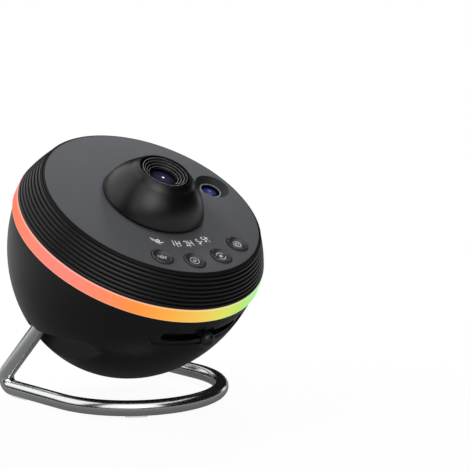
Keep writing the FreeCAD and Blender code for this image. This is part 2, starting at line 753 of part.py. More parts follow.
def deck_plate():
    rim = collar_point(DECK_LOW)
    edge = (DECK_R, DECK_TOP - RIB_PROUD)
    edges = [line((0, DECK_LOW), rim), arc(rim, (rim[0] + 0.6, (rim[1] + edge[1]) / 2), edge),
             arc(edge, (DECK_R - 0.15, DECK_TOP - 0.2), (DECK_R - 0.5, DECK_TOP)),
             line((DECK_R - 0.5, DECK_TOP), (0, DECK_TOP)), line((0, DECK_TOP), (0, DECK_LOW))]
    plate = lathe(edges)
    out = register_r()
    register = ring(out - REGISTER_T, out, DECK_LOW - REGISTER_H, DECK_LOW)
    cup = disc(DISH_R + DISH_WALL, DECK_TOP - DISH_DEPTH - DISH_WALL, DECK_LOW, METEOR_U, METEOR_V)
    cup = cup.common(disc(out, DECK_LOW - 2 * REGISTER_H, DECK_LOW))
    posts = [disc(KEY_POST_R, KEY_BOARD_TOP, DECK_LOW, u, v) for u, v in key_post_axes()]
    dish = turned([(0, DECK_TOP + 1), (DISH_R, DECK_TOP + 1), (DISH_R, DECK_TOP),
                   (DISH_FOOT_R, DECK_TOP - DISH_DEPTH), (0, DECK_TOP - DISH_DEPTH)],
                  METEOR_U, METEOR_V)
    cuts = [dish, disc(BEZEL_R + SLIP, 0, DECK_TOP, METEOR_U, METEOR_V),
            disc(GUIDE_OUT + FREE, 0, DECK_TOP)]
    cuts += [disc(BUTTON_R + BUTTON_GAP, 0, DECK_TOP, u, v) for u, v in button_axes()]
    cuts += [disc(BUTTON_R + BUTTON_GAP + FLANGE_OUT + FREE, KEY_BOARD_TOP, DECK_LOW, u, v)
             for u, v in button_axes()]
    cuts += [disc(PIPE_R + SLIP, 0, DECK_TOP, u, v) for u, v in pipe_axes()]
    cuts += [disc(KEY_SCREW_R + SCREW_FIT, KEY_BOARD_TOP, KEY_BOARD_TOP + 6, u, v)
             for u, v in key_post_axes()]
    return joined([plate, register, cup] + posts).cut(cuts)


# ---- Mid frame and lens guide ---------------------------------------------------------------
def motor_axis():
    return -MESH_DISTANCE, 0.0


def pillar_axes():
    return [(a * PILLAR_U, b * PILLAR_V) for a in (-1, 1) for b in (-1, 1)]


def power_post_axes():
    u = power_board_back() - POWER_POST_R - 1.0
    return [(u, s * POWER_POST_V) for s in (-1, 1)]


def power_board_back():
    """Inner end of the power board."""
    return inlet_mouth() + INLET_LEAD + POWER_BOARD_L


def ear_axes():
    return [polar(EAR_PITCH, d) for d in EAR_DEG]


def mid_frame():
    plate = disc(FRAME_R, FRAME_LOW, FRAME_TOP)
    rim = ring(STRIP_R - FRAME_RIM_T, STRIP_R, FRAME_TOP, BAND_H)
    posts = [disc(POWER_POST_R, INLET_LOW, FRAME_LOW, u, v) for u, v in power_post_axes()]
    bosses = [disc(EAR_R, FRAME_LOW - 4, FRAME_LOW, u, v) for u, v in ear_axes()]
    cuts = [disc(GUIDE_IN, FRAME_LOW, FRAME_TOP), disc(SHAFT_R + 3, FRAME_LOW, FRAME_TOP, *motor_axis())]
    cuts += [disc(CASE_SCREW_R + FREE, FRAME_LOW, FRAME_TOP, u, v) for u, v in case_post_axes()]
    cuts += [disc(PILLAR_SCREW_R + FREE, FRAME_LOW, FRAME_TOP, u, v) for u, v in pillar_axes()]
    cuts += [disc(PILLAR_SCREW_R + SCREW_FIT, FRAME_LOW - 4, FRAME_TOP, u, v)
             for u, v in ear_axes()]
    cuts += [disc(KEY_SCREW_R + SCREW_FIT, INLET_LOW, INLET_LOW + 6, u, v)
             for u, v in power_post_axes()]
    return joined([plate, rim] + posts + bosses).cut(cuts)


def lens_guide():
    tube = disc(GUIDE_OUT, FRAME_TOP, GUIDE_TOP)
    ears = [disc(EAR_R, FRAME_TOP, FRAME_TOP + EAR_T, u, v) for u, v in ear_axes()]
    webs = [spun(block((GUIDE_OUT - 1, EAR_PITCH), (-EAR_R, EAR_R), (FRAME_TOP, FRAME_TOP + EAR_T)), d)
            for d in EAR_DEG]
    clip_low = HUB_LOW - FREE - CLIP_T - 0.1
    groove = ring(GUIDE_OUT - CLIP_DEPTH, GUIDE_OUT + 1, clip_low, clip_low + CLIP_T + 0.1)
    cuts = [disc(GUIDE_IN, FRAME_TOP, GUIDE_TOP), groove]
    cuts += [disc(PILLAR_SCREW_R + FREE, FRAME_TOP, FRAME_TOP + EAR_T, u, v) for u, v in ear_axes()]
    return joined([tube] + ears + webs).cut(cuts)


def dome_clip():
    """Split ring in the guide's groove that keeps the dome down."""
    low = HUB_LOW - FREE - CLIP_T
    clip = ring(GUIDE_OUT - CLIP_DEPTH + RUN, GUIDE_OUT + CLIP_PROUD, low, low + CLIP_T)
    return clip.cut(block((0, DOME_R), (-2, 2), (low, low + CLIP_T)))


def guide_screws():
    made = []
    for u, v in ear_axes():
        one = screw(PILLAR_SCREW_R, EAR_T + FRAME_T + 3.0, PILLAR_SCREW_R * 2, 1.6)
        one.translate(V(u, v, FRAME_TOP + EAR_T))
        made.append(one)
    return group(made)


# ---- Dome, barrel and lenses ----------------------------------------------------------------
def focus_dome():
    """Cowl that is turned by hand; its hub turns on the lens guide."""
    low = DECK_TOP + FREE
    foot = (DOME_R, low + DOME_FOOT_R)
    foot_middle = (DOME_R - 0.293 * DOME_FOOT_R, low + 0.293 * DOME_FOOT_R)
    foot_in = (DOME_R - DOME_FOOT_R, low)
    crest = (DOME_MOUTH_R + 0.4, DOME_TOP)
    mouth = (DOME_MOUTH_R, DOME_TOP - 0.3)
    step = (DOME_MOUTH_R, GUIDE_TOP + 2 * FREE)
    hub_top = (HUB_IN, GUIDE_TOP + 2 * FREE)
    hub_foot = (HUB_IN, HUB_LOW)
    hub_out = (HUB_IN + HUB_T, HUB_LOW)
    web = (HUB_IN + HUB_T, DOME_SHOULDER[1] - 2 * DOME_WALL)
    inner_foot = (DOME_R - DOME_WALL, low)
    inner_waist = (DOME_WAIST[0] - DOME_WALL * 0.8, DOME_WAIST[1] - DOME_WALL * 0.6)
    edges = [arc(foot, DOME_WAIST, DOME_SHOULDER), arc(DOME_SHOULDER, DOME_LIP, crest),
             line(crest, mouth), line(mouth, step), line(step, hub_top), line(hub_top, hub_foot),
             line(hub_foot, hub_out), line(hub_out, web), arc(web, inner_waist, inner_foot),
             line(inner_foot, foot_in), arc(foot_in, foot_middle, foot)]
    return lathe(edges)


def lens_barrel():
    """Barrel with a bright front rim and stepped baffles in front of the lens."""
    bore = LENS_R + SLIP
    rim_low = RIM_TOP - RIM_H
    step_r = (RIM_MOUTH_R - BAFFLE_LOW_R) / BAFFLES
    step_h = (RIM_TOP - BAFFLE_LOW) / (BAFFLES + 1)
    points = [(bore, BARREL_LOW), (BARREL_R, BARREL_LOW), (BARREL_R, rim_low), (RIM_R, rim_low),
              (RIM_R, RIM_TOP - 0.3), (RIM_R - 0.3, RIM_TOP), (RIM_MOUTH_R, RIM_TOP)]
    for k in range(BAFFLES):
        r = RIM_MOUTH_R - step_r * k
        h = RIM_TOP - step_h * (k + 1)
        points += [(r, h), (r - step_r, h - 0.1)]
    points += [(BAFFLE_LOW_R, BAFFLE_LOW - LIP_H), (bore, BAFFLE_LOW - LIP_H)]
    return turned(points)


def crowned_lens(r, low, edge, crown, u=0.0, v=0.0):
    """Plano-convex lens, flat side down."""
    edges = [line((0, low), (r, low)), line((r, low), (r, low + edge)),
             cap(r, low + edge, crown), line((0, low + edge + crown), (0, low))]
    return lathe(edges, u, v)


def front_lens():
    return crowned_lens(LENS_R, FRONT_LENS_LOW, FRONT_LENS_EDGE, FRONT_LENS_CROWN)


def rear_lens():
    return crowned_lens(LENS_R, REAR_LENS_LOW, REAR_LENS_H - 1.6, 1.5)


def lens_spacer():
    return ring(LENS_R - SPACER_T, LENS_R, REAR_LENS_LOW + REAR_LENS_H, FRONT_LENS_LOW)


def lens_retainer():
    """Ring that holds the lens stack in the barrel from behind."""
    return ring(LENS_R - 1.5, LENS_R, REAR_LENS_LOW - RETAINER_H, REAR_LENS_LOW)


# ---- Film disc, drawer and drive ------------------------------------------------------------
def involute(base_r, r):
    """Roll angle of an involute where it reaches radius r."""
    t = math.sqrt(max(r * r / (base_r * base_r) - 1, 0))
    return t - math.atan(t)


def gear(teeth, low, high):
    """Spur gear with involute teeth, one tooth centred on +X."""
    pitch_r = MODULE * teeth / 2
    base_r = pitch_r * math.cos(math.radians(20))
    root_r = pitch_r - DEDENDUM * MODULE
    tip_r = pitch_r + ADDENDUM * MODULE
    half = math.pi / (2 * teeth) - TOOTH_THIN / (2 * pitch_r) + involute(base_r, pitch_r)
    start = max(base_r, root_r)
    radii = [start + (tip_r - start) * k / 4 for k in range(5)]
    flank = [(root_r, half - involute(base_r, start))] if root_r < base_r else []
    flank += [(r, half - involute(base_r, r)) for r in radii]
    points = []
    for k in range(teeth):
        mid = 2 * math.pi * k / teeth
        points += [(r, mid - a) for r, a in flank] + [(r, mid + a) for r, a in reversed(flank)]
    corners = [V(r * math.cos(a), r * math.sin(a), low) for r, a in points]
    return Part.Face(Part.makePolygon(corners + corners[:1])).extrude(V(0, 0, high - low))


def disc_carrier():
    """Toothed ring that holds the film disc and turns in the drawer."""
    high = GEAR_LOW + GEAR_T
    toothed = gear(DISC_TEETH, GEAR_LOW, high)
    skirt = disc(SKIRT_R, DRAWER_LOW + 0.2, GEAR_LOW)
    seat = disc(FILM_R + SLIP, high - FILM_T - 0.4, high)
    return joined([toothed, skirt]).cut([disc(FILM_CLEAR_R, DRAWER_LOW, high), seat])


def film_disc():
    low = GEAR_LOW + GEAR_T - FILM_T - 0.4
    return disc(FILM_R, low, low + FILM_T)


def drawer_wall():
    """Inner face of the shell at the ends of the drawer slot."""
    a, c = EGG_R - WALL - PAD_IN, EGG_C - WALL - PAD_IN
    return math.sqrt(a * a * (1 - ((SLOT_LOW - EGG_H) / c) ** 2) - SLOT_HALF ** 2)


def disc_drawer():
    """Tray whose face follows the shell, sunk below the lozenge."""
    long = EGG_R * 1.2
    nose_start = drawer_wall() - DRAWER_TRAVEL - 4.0
    body = block((-DRAWER_BACK, long), (-DRAWER_HALF, DRAWER_HALF), (DRAWER_LOW, DRAWER_HIGH))
    corner = obround(DRAWER_HALF, DRAWER_HIGH - DRAWER_LOW, -DRAWER_BACK, long, SLOT_H)
    nose = block((nose_start, long), (-EGG_R, EGG_R), (DRAWER_LOW - 1, DRAWER_HIGH + 1))
    body = body.cut(nose.cut(corner)).common(bowl(FACE_SINK))
    inside = DRAWER_HALF - DRAWER_WALL
    well = block((-DRAWER_BACK - 1, DISC_TEETH * MODULE / 2 + 3), (-inside, inside),
                 (FLOOR_TOP, DRAWER_HIGH))
    bore = disc(SKIRT_R + RUN, DRAWER_LOW, DRAWER_HIGH)
    seat = knob_seat()
    deep = KNOB_SPIGOT_L + 1.0
    socket = Part.makeCylinder(KNOB_NECK_R - KNOB_SPIGOT_T + SCREW_FIT, deep,
                               V(seat - deep, 0, SLOT_H), X)
    spot = Part.makeCylinder(KNOB_NECK_R + SCREW_FIT, deep, V(seat, 0, SLOT_H), X)
    return body.cut([well, bore, socket, spot])


def knob_seat():
    """Flat spot, just below the drawer's face, on which the knob's neck stands."""
    a, c = EGG_R - FACE_SINK, EGG_C - FACE_SINK
    return a * math.sqrt(1 - ((SLOT_H - EGG_H) / c) ** 2) - KNOB_SINK


def drawer_knob():
    """Ball knob on a short neck, with a spigot that is pressed into the drawer."""
    seat = knob_seat()
    spigot_r = KNOB_NECK_R - KNOB_SPIGOT_T
    low = seat - KNOB_SPIGOT_L
    middle = KNOB_OUT - KNOB_R
    join = middle - math.sqrt(KNOB_R ** 2 - KNOB_NECK_R ** 2)
    outline = [line((0, low), (spigot_r, low)), line((spigot_r, low), (spigot_r, seat)),
               line((spigot_r, seat), (KNOB_NECK_R, seat)),
               line((KNOB_NECK_R, seat), (KNOB_NECK_R, join)),
               arc((KNOB_NECK_R, join), (KNOB_R, middle), (0, KNOB_OUT)),
               line((0, KNOB_OUT), (0, low))]
    knob = lathe(outline)
    knob.rotate(ORIGIN, Y, 90)
    knob.translate(V(0, 0, SLOT_H))
    return knob


def disc_motor():
    """Geared can motor on the mid frame, with its shaft bush."""
    u, v = motor_axis()
    can = disc(MOTOR_R, FRAME_TOP, FRAME_TOP + MOTOR_H, u, v)
    bush = disc(SHAFT_R + 1.6, FRAME_LOW - 1, FRAME_TOP, u, v)
    shaft_hole = disc(SHAFT_R + RUN, FRAME_LOW - 1, FRAME_TOP + MOTOR_H / 2, u, v)
    return joined([can, bush]).cut(shaft_hole)


def drive_pinion():
    """Pinion on the motor's shaft, with a tooth gap towards the disc."""
    u, v = motor_axis()
    pinion = gear(PINION_TEETH, GEAR_LOW, GEAR_LOW + GEAR_T)
    pinion.rotate(ORIGIN, Z, 180 / PINION_TEETH)
    hub = disc(SHAFT_R + 1.8, GEAR_LOW + GEAR_T, FRAME_LOW - 1 - FREE)
    shaft = disc(SHAFT_R, GEAR_LOW + GEAR_T, FRAME_TOP + MOTOR_H / 2 - FREE)
    whole = joined([pinion, hub, shaft])
    whole.translate(V(u, v, 0))
    return whole


# ---- Projection lamp ------------------------------------------------------------------------
def lamp_housing():
    """Table with the drawer's rails, pillars up to the mid frame and the lamp tube below."""
    table = block(TABLE_U, (-TABLE_HALF_V, TABLE_HALF_V), (TABLE_LOW, TABLE_TOP))
    rail_in = DRAWER_HALF + RAIL_GAP
    rail_top = DRAWER_HIGH + RAIL_GAP + RAIL_LIP_T
    rail_u = (TABLE_U[0], TABLE_U[1] - RAIL_SHORT)
    rail = block(rail_u, (rail_in, rail_in + RAIL_T), (TABLE_TOP, rail_top))
    lip = block(rail_u, (rail_in - RAIL_LIP, rail_in + RAIL_T), (DRAWER_HIGH + RAIL_GAP, rail_top))
    pillars = [disc(PILLAR_R, TABLE_LOW, FRAME_LOW, u, v) for u, v in pillar_axes()]
    tube = disc(LAMP_BORE + LAMP_WALL, LAMP_LOW, TABLE_LOW)
    flange = disc(FLANGE_R, LAMP_LOW, LAMP_LOW + FLANGE_T)
    whole = joined([table, rail, lip, other_side(rail), other_side(lip), tube, flange] + pillars)
    seat_low = CONDENSER_LOW - SEAT_T
    cuts = [disc(LAMP_BORE, LAMP_LOW, seat_low), disc(LAMP_BORE - SEAT_LIP, seat_low, CONDENSER_LOW),
            disc(LAMP_BORE, CONDENSER_LOW, TABLE_TOP)]
    cuts += [disc(PILLAR_SCREW_R + SCREW_FIT, FRAME_LOW - PILLAR_SCREW_DEEP, FRAME_LOW, u, v)
             for u, v in pillar_axes()]
    cuts += [disc(PILLAR_SCREW_R + FREE, LAMP_LOW, LAMP_LOW + FLANGE_T, u, v)
             for u, v in lamp_screw_axes()]
    return whole.cut(cuts)


def lamp_screw_axes():
    return [(0, s * (LAMP_BORE + LAMP_WALL + FLANGE_R) / 2) for s in (-1, 1)]


def pillar_screws():
    made = []
    for u, v in pillar_axes():
        one = screw(PILLAR_SCREW_R, FRAME_T + 6.0, PILLAR_SCREW_R * 2, 1.6)
        one.translate(V(u, v, FRAME_TOP))
        made.append(one)
    return group(made)


def condenser_lens():
    return crowned_lens(LAMP_BORE - SLIP, CONDENSER_LOW, CONDENSER_EDGE, CONDENSER_CROWN)


def lamp_board():
    """Metal-core board with its emitter, on the heat sink."""
    board = disc(LAMP_BOARD_R, LAMP_LOW, LAMP_LOW + BOARD_T)
    emitter = block((-EMITTER / 2, EMITTER / 2), (-EMITTER / 2, EMITTER / 2),
                    (LAMP_LOW + BOARD_T, LAMP_LOW + BOARD_T + EMITTER_H))
    return joined([board, emitter])


def heat_sink():
    half = SINK_HALF
    base = block((-half, half), (-half, half), (LAMP_LOW - SINK_BASE, LAMP_LOW))
    pitch = (2 * half - SINK_FIN_T) / (SINK_FINS - 1)
    low = LAMP_LOW - SINK_BASE - SINK_FIN_H
    fins = [block((-half, half), (-half + pitch * k, -half + pitch * k + SINK_FIN_T),
                  (low, LAMP_LOW - SINK_BASE)) for k in range(SINK_FINS)]
    holes = [disc(PILLAR_SCREW_R + SCREW_FIT, LAMP_LOW - SINK_BASE, LAMP_LOW, u, v)
             for u, v in lamp_screw_axes()]
    return joined([base] + fins).cut(holes)


def lamp_screws():
    made = []
    for u, v in lamp_screw_axes():
        one = screw(PILLAR_SCREW_R, FLANGE_T + SINK_BASE - 0.2, PILLAR_SCREW_R * 1.6, 1.4)
        one.translate(V(u, v, LAMP_LOW + FLANGE_T))
        made.append(one)
    return group(made)


# ---- Meteor lens ----------------------------------------------------------------------------
def meteor_housing():
    bore = BEZEL_R + SLIP
    lens_bore = BEZEL_R - BEZEL_T - SLIP - 0.2
    low, high = FRAME_TOP, DECK_TOP - DISH_DEPTH - DISH_WALL
    cuts = [disc(lens_bore, low, low + 5, METEOR_U, METEOR_V),
            disc(lens_bore - 0.8, low + 5, MASK_LOW, METEOR_U, METEOR_V),
            disc(lens_bore, MASK_LOW, BEZEL_LOW, METEOR_U, METEOR_V),
            disc(bore, BEZEL_LOW, high, METEOR_U, METEOR_V)]
    return disc(BEZEL_R + HOUSING_WALL, low, high, METEOR_U, METEOR_V).cut(cuts)


def meteor_bezel():
    inner = BEZEL_R - BEZEL_T
    return turned([(inner, BEZEL_LOW), (BEZEL_R, BEZEL_LOW), (BEZEL_R, BEZEL_HIGH - 0.25),
                   (BEZEL_R - 0.25, BEZEL_HIGH), (inner, BEZEL_HIGH)], METEOR_U, METEOR_V)


def meteor_lens():
    return crowned_lens(BEZEL_R - BEZEL_T - SCREW_FIT, BEZEL_LOW, METEOR_LENS_EDGE,
                        METEOR_LENS_CROWN, METEOR_U, METEOR_V)


def meteor_mask():
    """Disc with a row of small holes that draws the meteors."""
    mask = disc(BEZEL_R - BEZEL_T - SLIP - 0.25, MASK_LOW, MASK_LOW + MASK_T, METEOR_U, METEOR_V)
    holes = [disc(0.5, MASK_LOW, MASK_LOW + MASK_T, METEOR_U + du, METEOR_V)
             for du in (-3.0, -1.5, 0.0, 1.5, 3.0)]
    return mask.cut(holes)


def meteor_lamp_board():
    r = BEZEL_R - BEZEL_T - SLIP - 0.25
    board = disc(r, FRAME_TOP, FRAME_TOP + METEOR_BOARD_T, METEOR_U, METEOR_V)
    lamp = block((METEOR_U - 1.2, METEOR_U + 1.2), (METEOR_V - 1.2, METEOR_V + 1.2),
                 (FRAME_TOP + METEOR_BOARD_T, FRAME_TOP + METEOR_BOARD_T + 1.5))
    return joined([board, lamp])


# ---- Buttons, key board and indicators ------------------------------------------------------
def button(u, v):
    """Round cap with a dished top, a flange below the deck and a stem into its switch."""
    low = DECK_LOW - BUTTON_FLANGE_T - 0.1
    side = DECK_TOP + BUTTON_PROUD
    edge = BUTTON_EDGE
    tip_low = SWITCH_TOP - 1.2
    flange_r = BUTTON_R + BUTTON_GAP + FLANGE_OUT
    outline = [line((0, tip_low), (TIP_R, tip_low)), line((TIP_R, tip_low), (TIP_R, SWITCH_TOP + 1)),
               line((TIP_R, SWITCH_TOP + 1), (STEM_R, SWITCH_TOP + 1)),
               line((STEM_R, SWITCH_TOP + 1), (STEM_R, low)), line((STEM_R, low), (flange_r, low)),
               line((flange_r, low), (flange_r, low + BUTTON_FLANGE_T)),
               line((flange_r, low + BUTTON_FLANGE_T), (BUTTON_R, low + BUTTON_FLANGE_T)),
               line((BUTTON_R, low + BUTTON_FLANGE_T), (BUTTON_R, side)),
               arc((BUTTON_R, side), (BUTTON_R - 0.15, side + 0.35), (BUTTON_R - edge, side + edge)),
               cap(BUTTON_R - edge, side + edge, -BUTTON_CROWN),
               line((0, side + edge - BUTTON_CROWN), (0, tip_low))]
    room = disc(register_r() - SLIP - BUTTON_GAP, 0, 2 * DECK_TOP)
    return lathe(outline, u, v).common(room)


def key_board():
    """Crescent board below the buttons, with its indicator lamps."""
    board = ring(KEY_BOARD_IN, KEY_BOARD_OUT, KEY_BOARD_LOW, KEY_BOARD_TOP)
    wedge = Part.makeCylinder(DECK_R, BOARD_T, V(0, 0, KEY_BOARD_LOW), Z, 2 * KEY_BOARD_HALF_DEG)
    board = board.common(spun(wedge, -KEY_BOARD_HALF_DEG))
    chips = [block((u - CHIP_W / 2, u + CHIP_W / 2), (v - CHIP_W / 2, v + CHIP_W / 2),
                   (KEY_BOARD_TOP, KEY_BOARD_TOP + CHIP_H)) for u, v in pipe_axes()]
    holes = [disc(KEY_SCREW_R + SCREW_FIT, KEY_BOARD_LOW, KEY_BOARD_TOP, u, v)
             for u, v in key_post_axes()]
    return joined([board] + chips).cut(holes)


def tact_switches():
    half = SWITCH_W / 2
    made = []
    for (u, v), turn in zip(button_axes(), BUTTON_DEG):
        body = spun(block((-half, half), (-half, half), (KEY_BOARD_TOP, SWITCH_TOP)), turn)
        body.translate(V(u, v, 0))
        made.append(body.cut(disc(TIP_R + 0.2, SWITCH_TOP - SWITCH_WELL, SWITCH_TOP, u, v)))
    return group(made)


def indicator_pipe():
    """Five clear rods on one curved bar."""
    low = KEY_BOARD_TOP + CHIP_H + 0.1
    rods = [disc(PIPE_R, low, DECK_TOP - 0.05, u, v) for u, v in pipe_axes()]
    bar_low = DECK_LOW - 0.2 - PIPE_BAR_T
    bar = ring(PIPE_PITCH - PIPE_BAR_W / 2, PIPE_PITCH + PIPE_BAR_W / 2, bar_low,
               bar_low + PIPE_BAR_T)
    first, last = PIPE_DEG[0] - PIPE_BAR_END_DEG, PIPE_DEG[-1] + PIPE_BAR_END_DEG
    wedge = Part.makeCylinder(DECK_R, PIPE_BAR_T, V(0, 0, bar_low), Z, last - first)
    return joined([bar.common(spun(wedge, first))] + rods)


def key_screws():
    """Small screws that hold the key board and the power board."""
    made = []
    for u, v in key_post_axes():
        one = screw(KEY_SCREW_R, BOARD_T + 5, KEY_SCREW_R * 2, 1.2)
        one.rotate(ORIGIN, X, 180)
        one.translate(V(u, v, KEY_BOARD_LOW))
        made.append(one)
    for u, v in power_post_axes():
        one = screw(KEY_SCREW_R, BOARD_T + 5, KEY_SCREW_R * 2, 1.2)
        one.rotate(ORIGIN, X, 180)
        one.translate(V(u, v, INLET_LOW - BOARD_T))
        made.append(one)
    return group(made)


# ---- Power inlet ----------------------------------------------------------------------------
def inlet_mouth():
    """Position of the inlet's mouth on the rear of the head."""
    return -EGG_R * math.sqrt(1 - ((INLET_H - EGG_H) / EGG_C) ** 2) + INLET_SINK


def power_inlet():
    """Flat metal socket with its tongue."""
    mouth = inlet_mouth()
    half = INLET_W / 2
    shell = block((mouth, mouth + INLET_L), (-half, half), (INLET_LOW, INLET_TOP))
    edges = [e for e in shell.Edges if abs(e.tangentAt(e.FirstParameter).x) > 0.9]
    shell = shell.makeFillet(INLET_T / 2 - 0.2, edges)
    hollow = block((mouth, mouth + INLET_L - 1), (-half + INLET_WALL, half - INLET_WALL),
                   (INLET_LOW + INLET_WALL, INLET_TOP - INLET_WALL))
    edges = [e for e in hollow.Edges if abs(e.tangentAt(e.FirstParameter).x) > 0.9]
    hollow = hollow.makeFillet(INLET_T / 2 - 0.2 - INLET_WALL, edges)
    tongue = block((mouth + 0.8, mouth + INLET_L), (-half + 1.2, half - 1.2),
                   (INLET_H - 0.35, INLET_H + 0.35))
    return joined([shell.cut(hollow), tongue])


def power_board():
    back = power_board_back()
    low = INLET_LOW - BOARD_T
    board = block((back - POWER_BOARD_L, back), (-POWER_BOARD_W / 2, POWER_BOARD_W / 2),
                  (low, INLET_LOW))
    coil = block((back - COIL_BACK - COIL_L, back - COIL_BACK), (-COIL_L / 2, COIL_L / 2),
                 (low - COIL_H, low))
    holes = [disc(KEY_SCREW_R + SCREW_FIT, low, INLET_LOW, u, v) for u, v in power_post_axes()]
    return joined([board, coil]).cut(holes)


# ---- Output ---------------------------------------------------------------------------------
HEAD_PIECES = {
    "lower_shell": lower_shell, "light_band": light_band, "band_led_strip": band_led_strip,
    "ribbed_collar": ribbed_collar, "case_screws": case_screws, "deck_plate": deck_plate,
    "mid_frame": mid_frame, "lens_guide": lens_guide, "dome_clip": dome_clip,
    "guide_screws": guide_screws, "focus_dome": focus_dome, "lens_barrel": lens_barrel,
    "front_lens": front_lens, "rear_lens": rear_lens, "lens_spacer": lens_spacer,
    "lens_retainer": lens_retainer, "disc_carrier": disc_carrier, "film_disc": film_disc,
    "disc_drawer": disc_drawer, "drawer_knob": drawer_knob, "disc_motor": disc_motor,
    "drive_pinion": drive_pinion, "lamp_housing": lamp_housing, "pillar_screws": pillar_screws,
    "condenser_lens": condenser_lens, "lamp_board": lamp_board, "heat_sink": heat_sink,
    "lamp_screws": lamp_screws, "meteor_housing": meteor_housing, "meteor_bezel": meteor_bezel,
    "meteor_lens": meteor_lens, "meteor_mask": meteor_mask,
    "meteor_lamp_board": meteor_lamp_board, "key_board": key_board,
    "tact_switches": tact_switches, "indicator_pipe": indicator_pipe, "key_screws": key_screws,
    "power_inlet": power_inlet, "power_board": power_board,
}
SIDE_PIECES = {
    "arm_lug": arm_lug, "pivot_bolt": pivot_bolt, "friction_washers": friction_washers,
    "pivot_bush": pivot_bush, "pivot_nut": pivot_nut, "hinge_bracket": hinge_bracket,
}
LEVEL_PIECES = {
    "stand_tube": stand_tube, "foot_pads": foot_pads, "bracket_screws": bracket_screws,
}


def write(name, shape):
    shape.exportStep(os.path.join("parts", name + ".step"))


def write_level(name, shape):
    placed = shape.copy()
    placed.translate(V(HEAD_X, 0, HEAD_Z))
    write(name, placed)


def main():
    os.makedirs("parts", exist_ok=True)
    for name, make in HEAD_PIECES.items():
        write(name, in_head(make()))
    for name, (u, v) in zip(BUTTON_NAMES, button_axes()):
        write(name, in_head(button(u, v)))
    for name, make in LEVEL_PIECES.items():
        write_level(name, make())
    for name, make in SIDE_PIECES.items():
        shape = make()
        write_level(name + "_left", shape)
        write_level(name + "_right", other_side(shape))


main()
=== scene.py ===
"""Looks of a table-top planetarium projector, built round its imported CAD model."""

import cmath
import logging
import math
from dataclasses import dataclass
from enum import Enum
from functools import cache, cached_property
from typing import Any, Callable, Iterable, Optional, Sequence, Union

import bpy
from mathutils import Euler, Matrix, Vector


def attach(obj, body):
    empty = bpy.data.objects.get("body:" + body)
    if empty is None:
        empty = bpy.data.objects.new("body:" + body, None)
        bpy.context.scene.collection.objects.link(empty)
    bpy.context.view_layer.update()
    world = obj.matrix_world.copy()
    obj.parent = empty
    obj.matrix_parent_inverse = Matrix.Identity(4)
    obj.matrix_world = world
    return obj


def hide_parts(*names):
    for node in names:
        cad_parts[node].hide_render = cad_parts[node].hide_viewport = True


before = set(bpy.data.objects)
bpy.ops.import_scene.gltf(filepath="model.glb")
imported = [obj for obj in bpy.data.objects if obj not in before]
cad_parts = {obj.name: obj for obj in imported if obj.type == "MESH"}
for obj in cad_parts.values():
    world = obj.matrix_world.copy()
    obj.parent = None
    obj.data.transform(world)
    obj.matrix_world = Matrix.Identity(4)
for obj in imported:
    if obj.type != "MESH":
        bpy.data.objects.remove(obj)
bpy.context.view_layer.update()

log = logging.getLogger("planetarium")

MM = 0.001
WELD = 0.002 * MM
TILT = math.radians(30.0)
HEAD_CENTRE = Vector((2.75, 0.0, 82.8)) * MM
HEAD = Matrix.Translation(HEAD_CENTRE) @ Matrix.Rotation(TILT, 4, "Y")
LEVEL = Matrix.Translation(HEAD_CENTRE)
DECK_TOP = 24.0

Point = tuple[float, float]
Colour = tuple[float, float, float]
Shade = dict[str, Any]
WHITE: Colour = (1.0, 1.0, 1.0)


class Body(Enum):
    """Bodies of the part that a piece can ride on."""

    STAND = "stand"
    HEAD = "head"
    DOME = "focus_dome"
    BARREL = "lens_barrel"
    DRAWER = "drawer"
    METEOR_KEY = "button_meteor"
    LAMP_KEY = "button_lamp"
    ROTATION_KEY = "button_rotation"
    POWER_KEY = "button_power"


def ink(red: float, green: float, blue: float) -> Colour:
    """Turn a colour of 0 to 255 as seen on a screen into the shader's linear colour.

    Args:
        red: Red, 0 to 255.
        green: Green, 0 to 255.
        blue: Blue, 0 to 255.

    Returns:
        The linear colour.
    """
    def linear(value: float) -> float:
        """Linear value of one channel."""
        share = value / 255
        return share / 12.92 if share <= 0.04045 else ((share + 0.055) / 1.055) ** 2.4
    return linear(red), linear(green), linear(blue)


def toned(colour: Colour, share: float) -> Colour:
    """A colour made darker or lighter by a share."""
    return tuple(channel * share for channel in colour)


# ---- Shader arithmetic ----
def maths(operation: str, swapped: bool = False) -> Callable[..., "Term"]:
    """Make a method of a term that adds a Math node.

    Args:
        operation: The node's operation.
        swapped: Whether the term comes after the other value.

    Returns:
        The method.
    """
    def method(term: "Term", *others: Any) -> "Term":
        """Result of the node.

        Args:
            term: The term.
            *others: The other values of the operation.

        Returns:
            The result.
        """
        values = (*others, term) if swapped else (term, *others)
        node = term.net.node("ShaderNodeMath", dict(enumerate(values)), operation=operation)
        return Term(term.net, node.outputs[0])
    return method


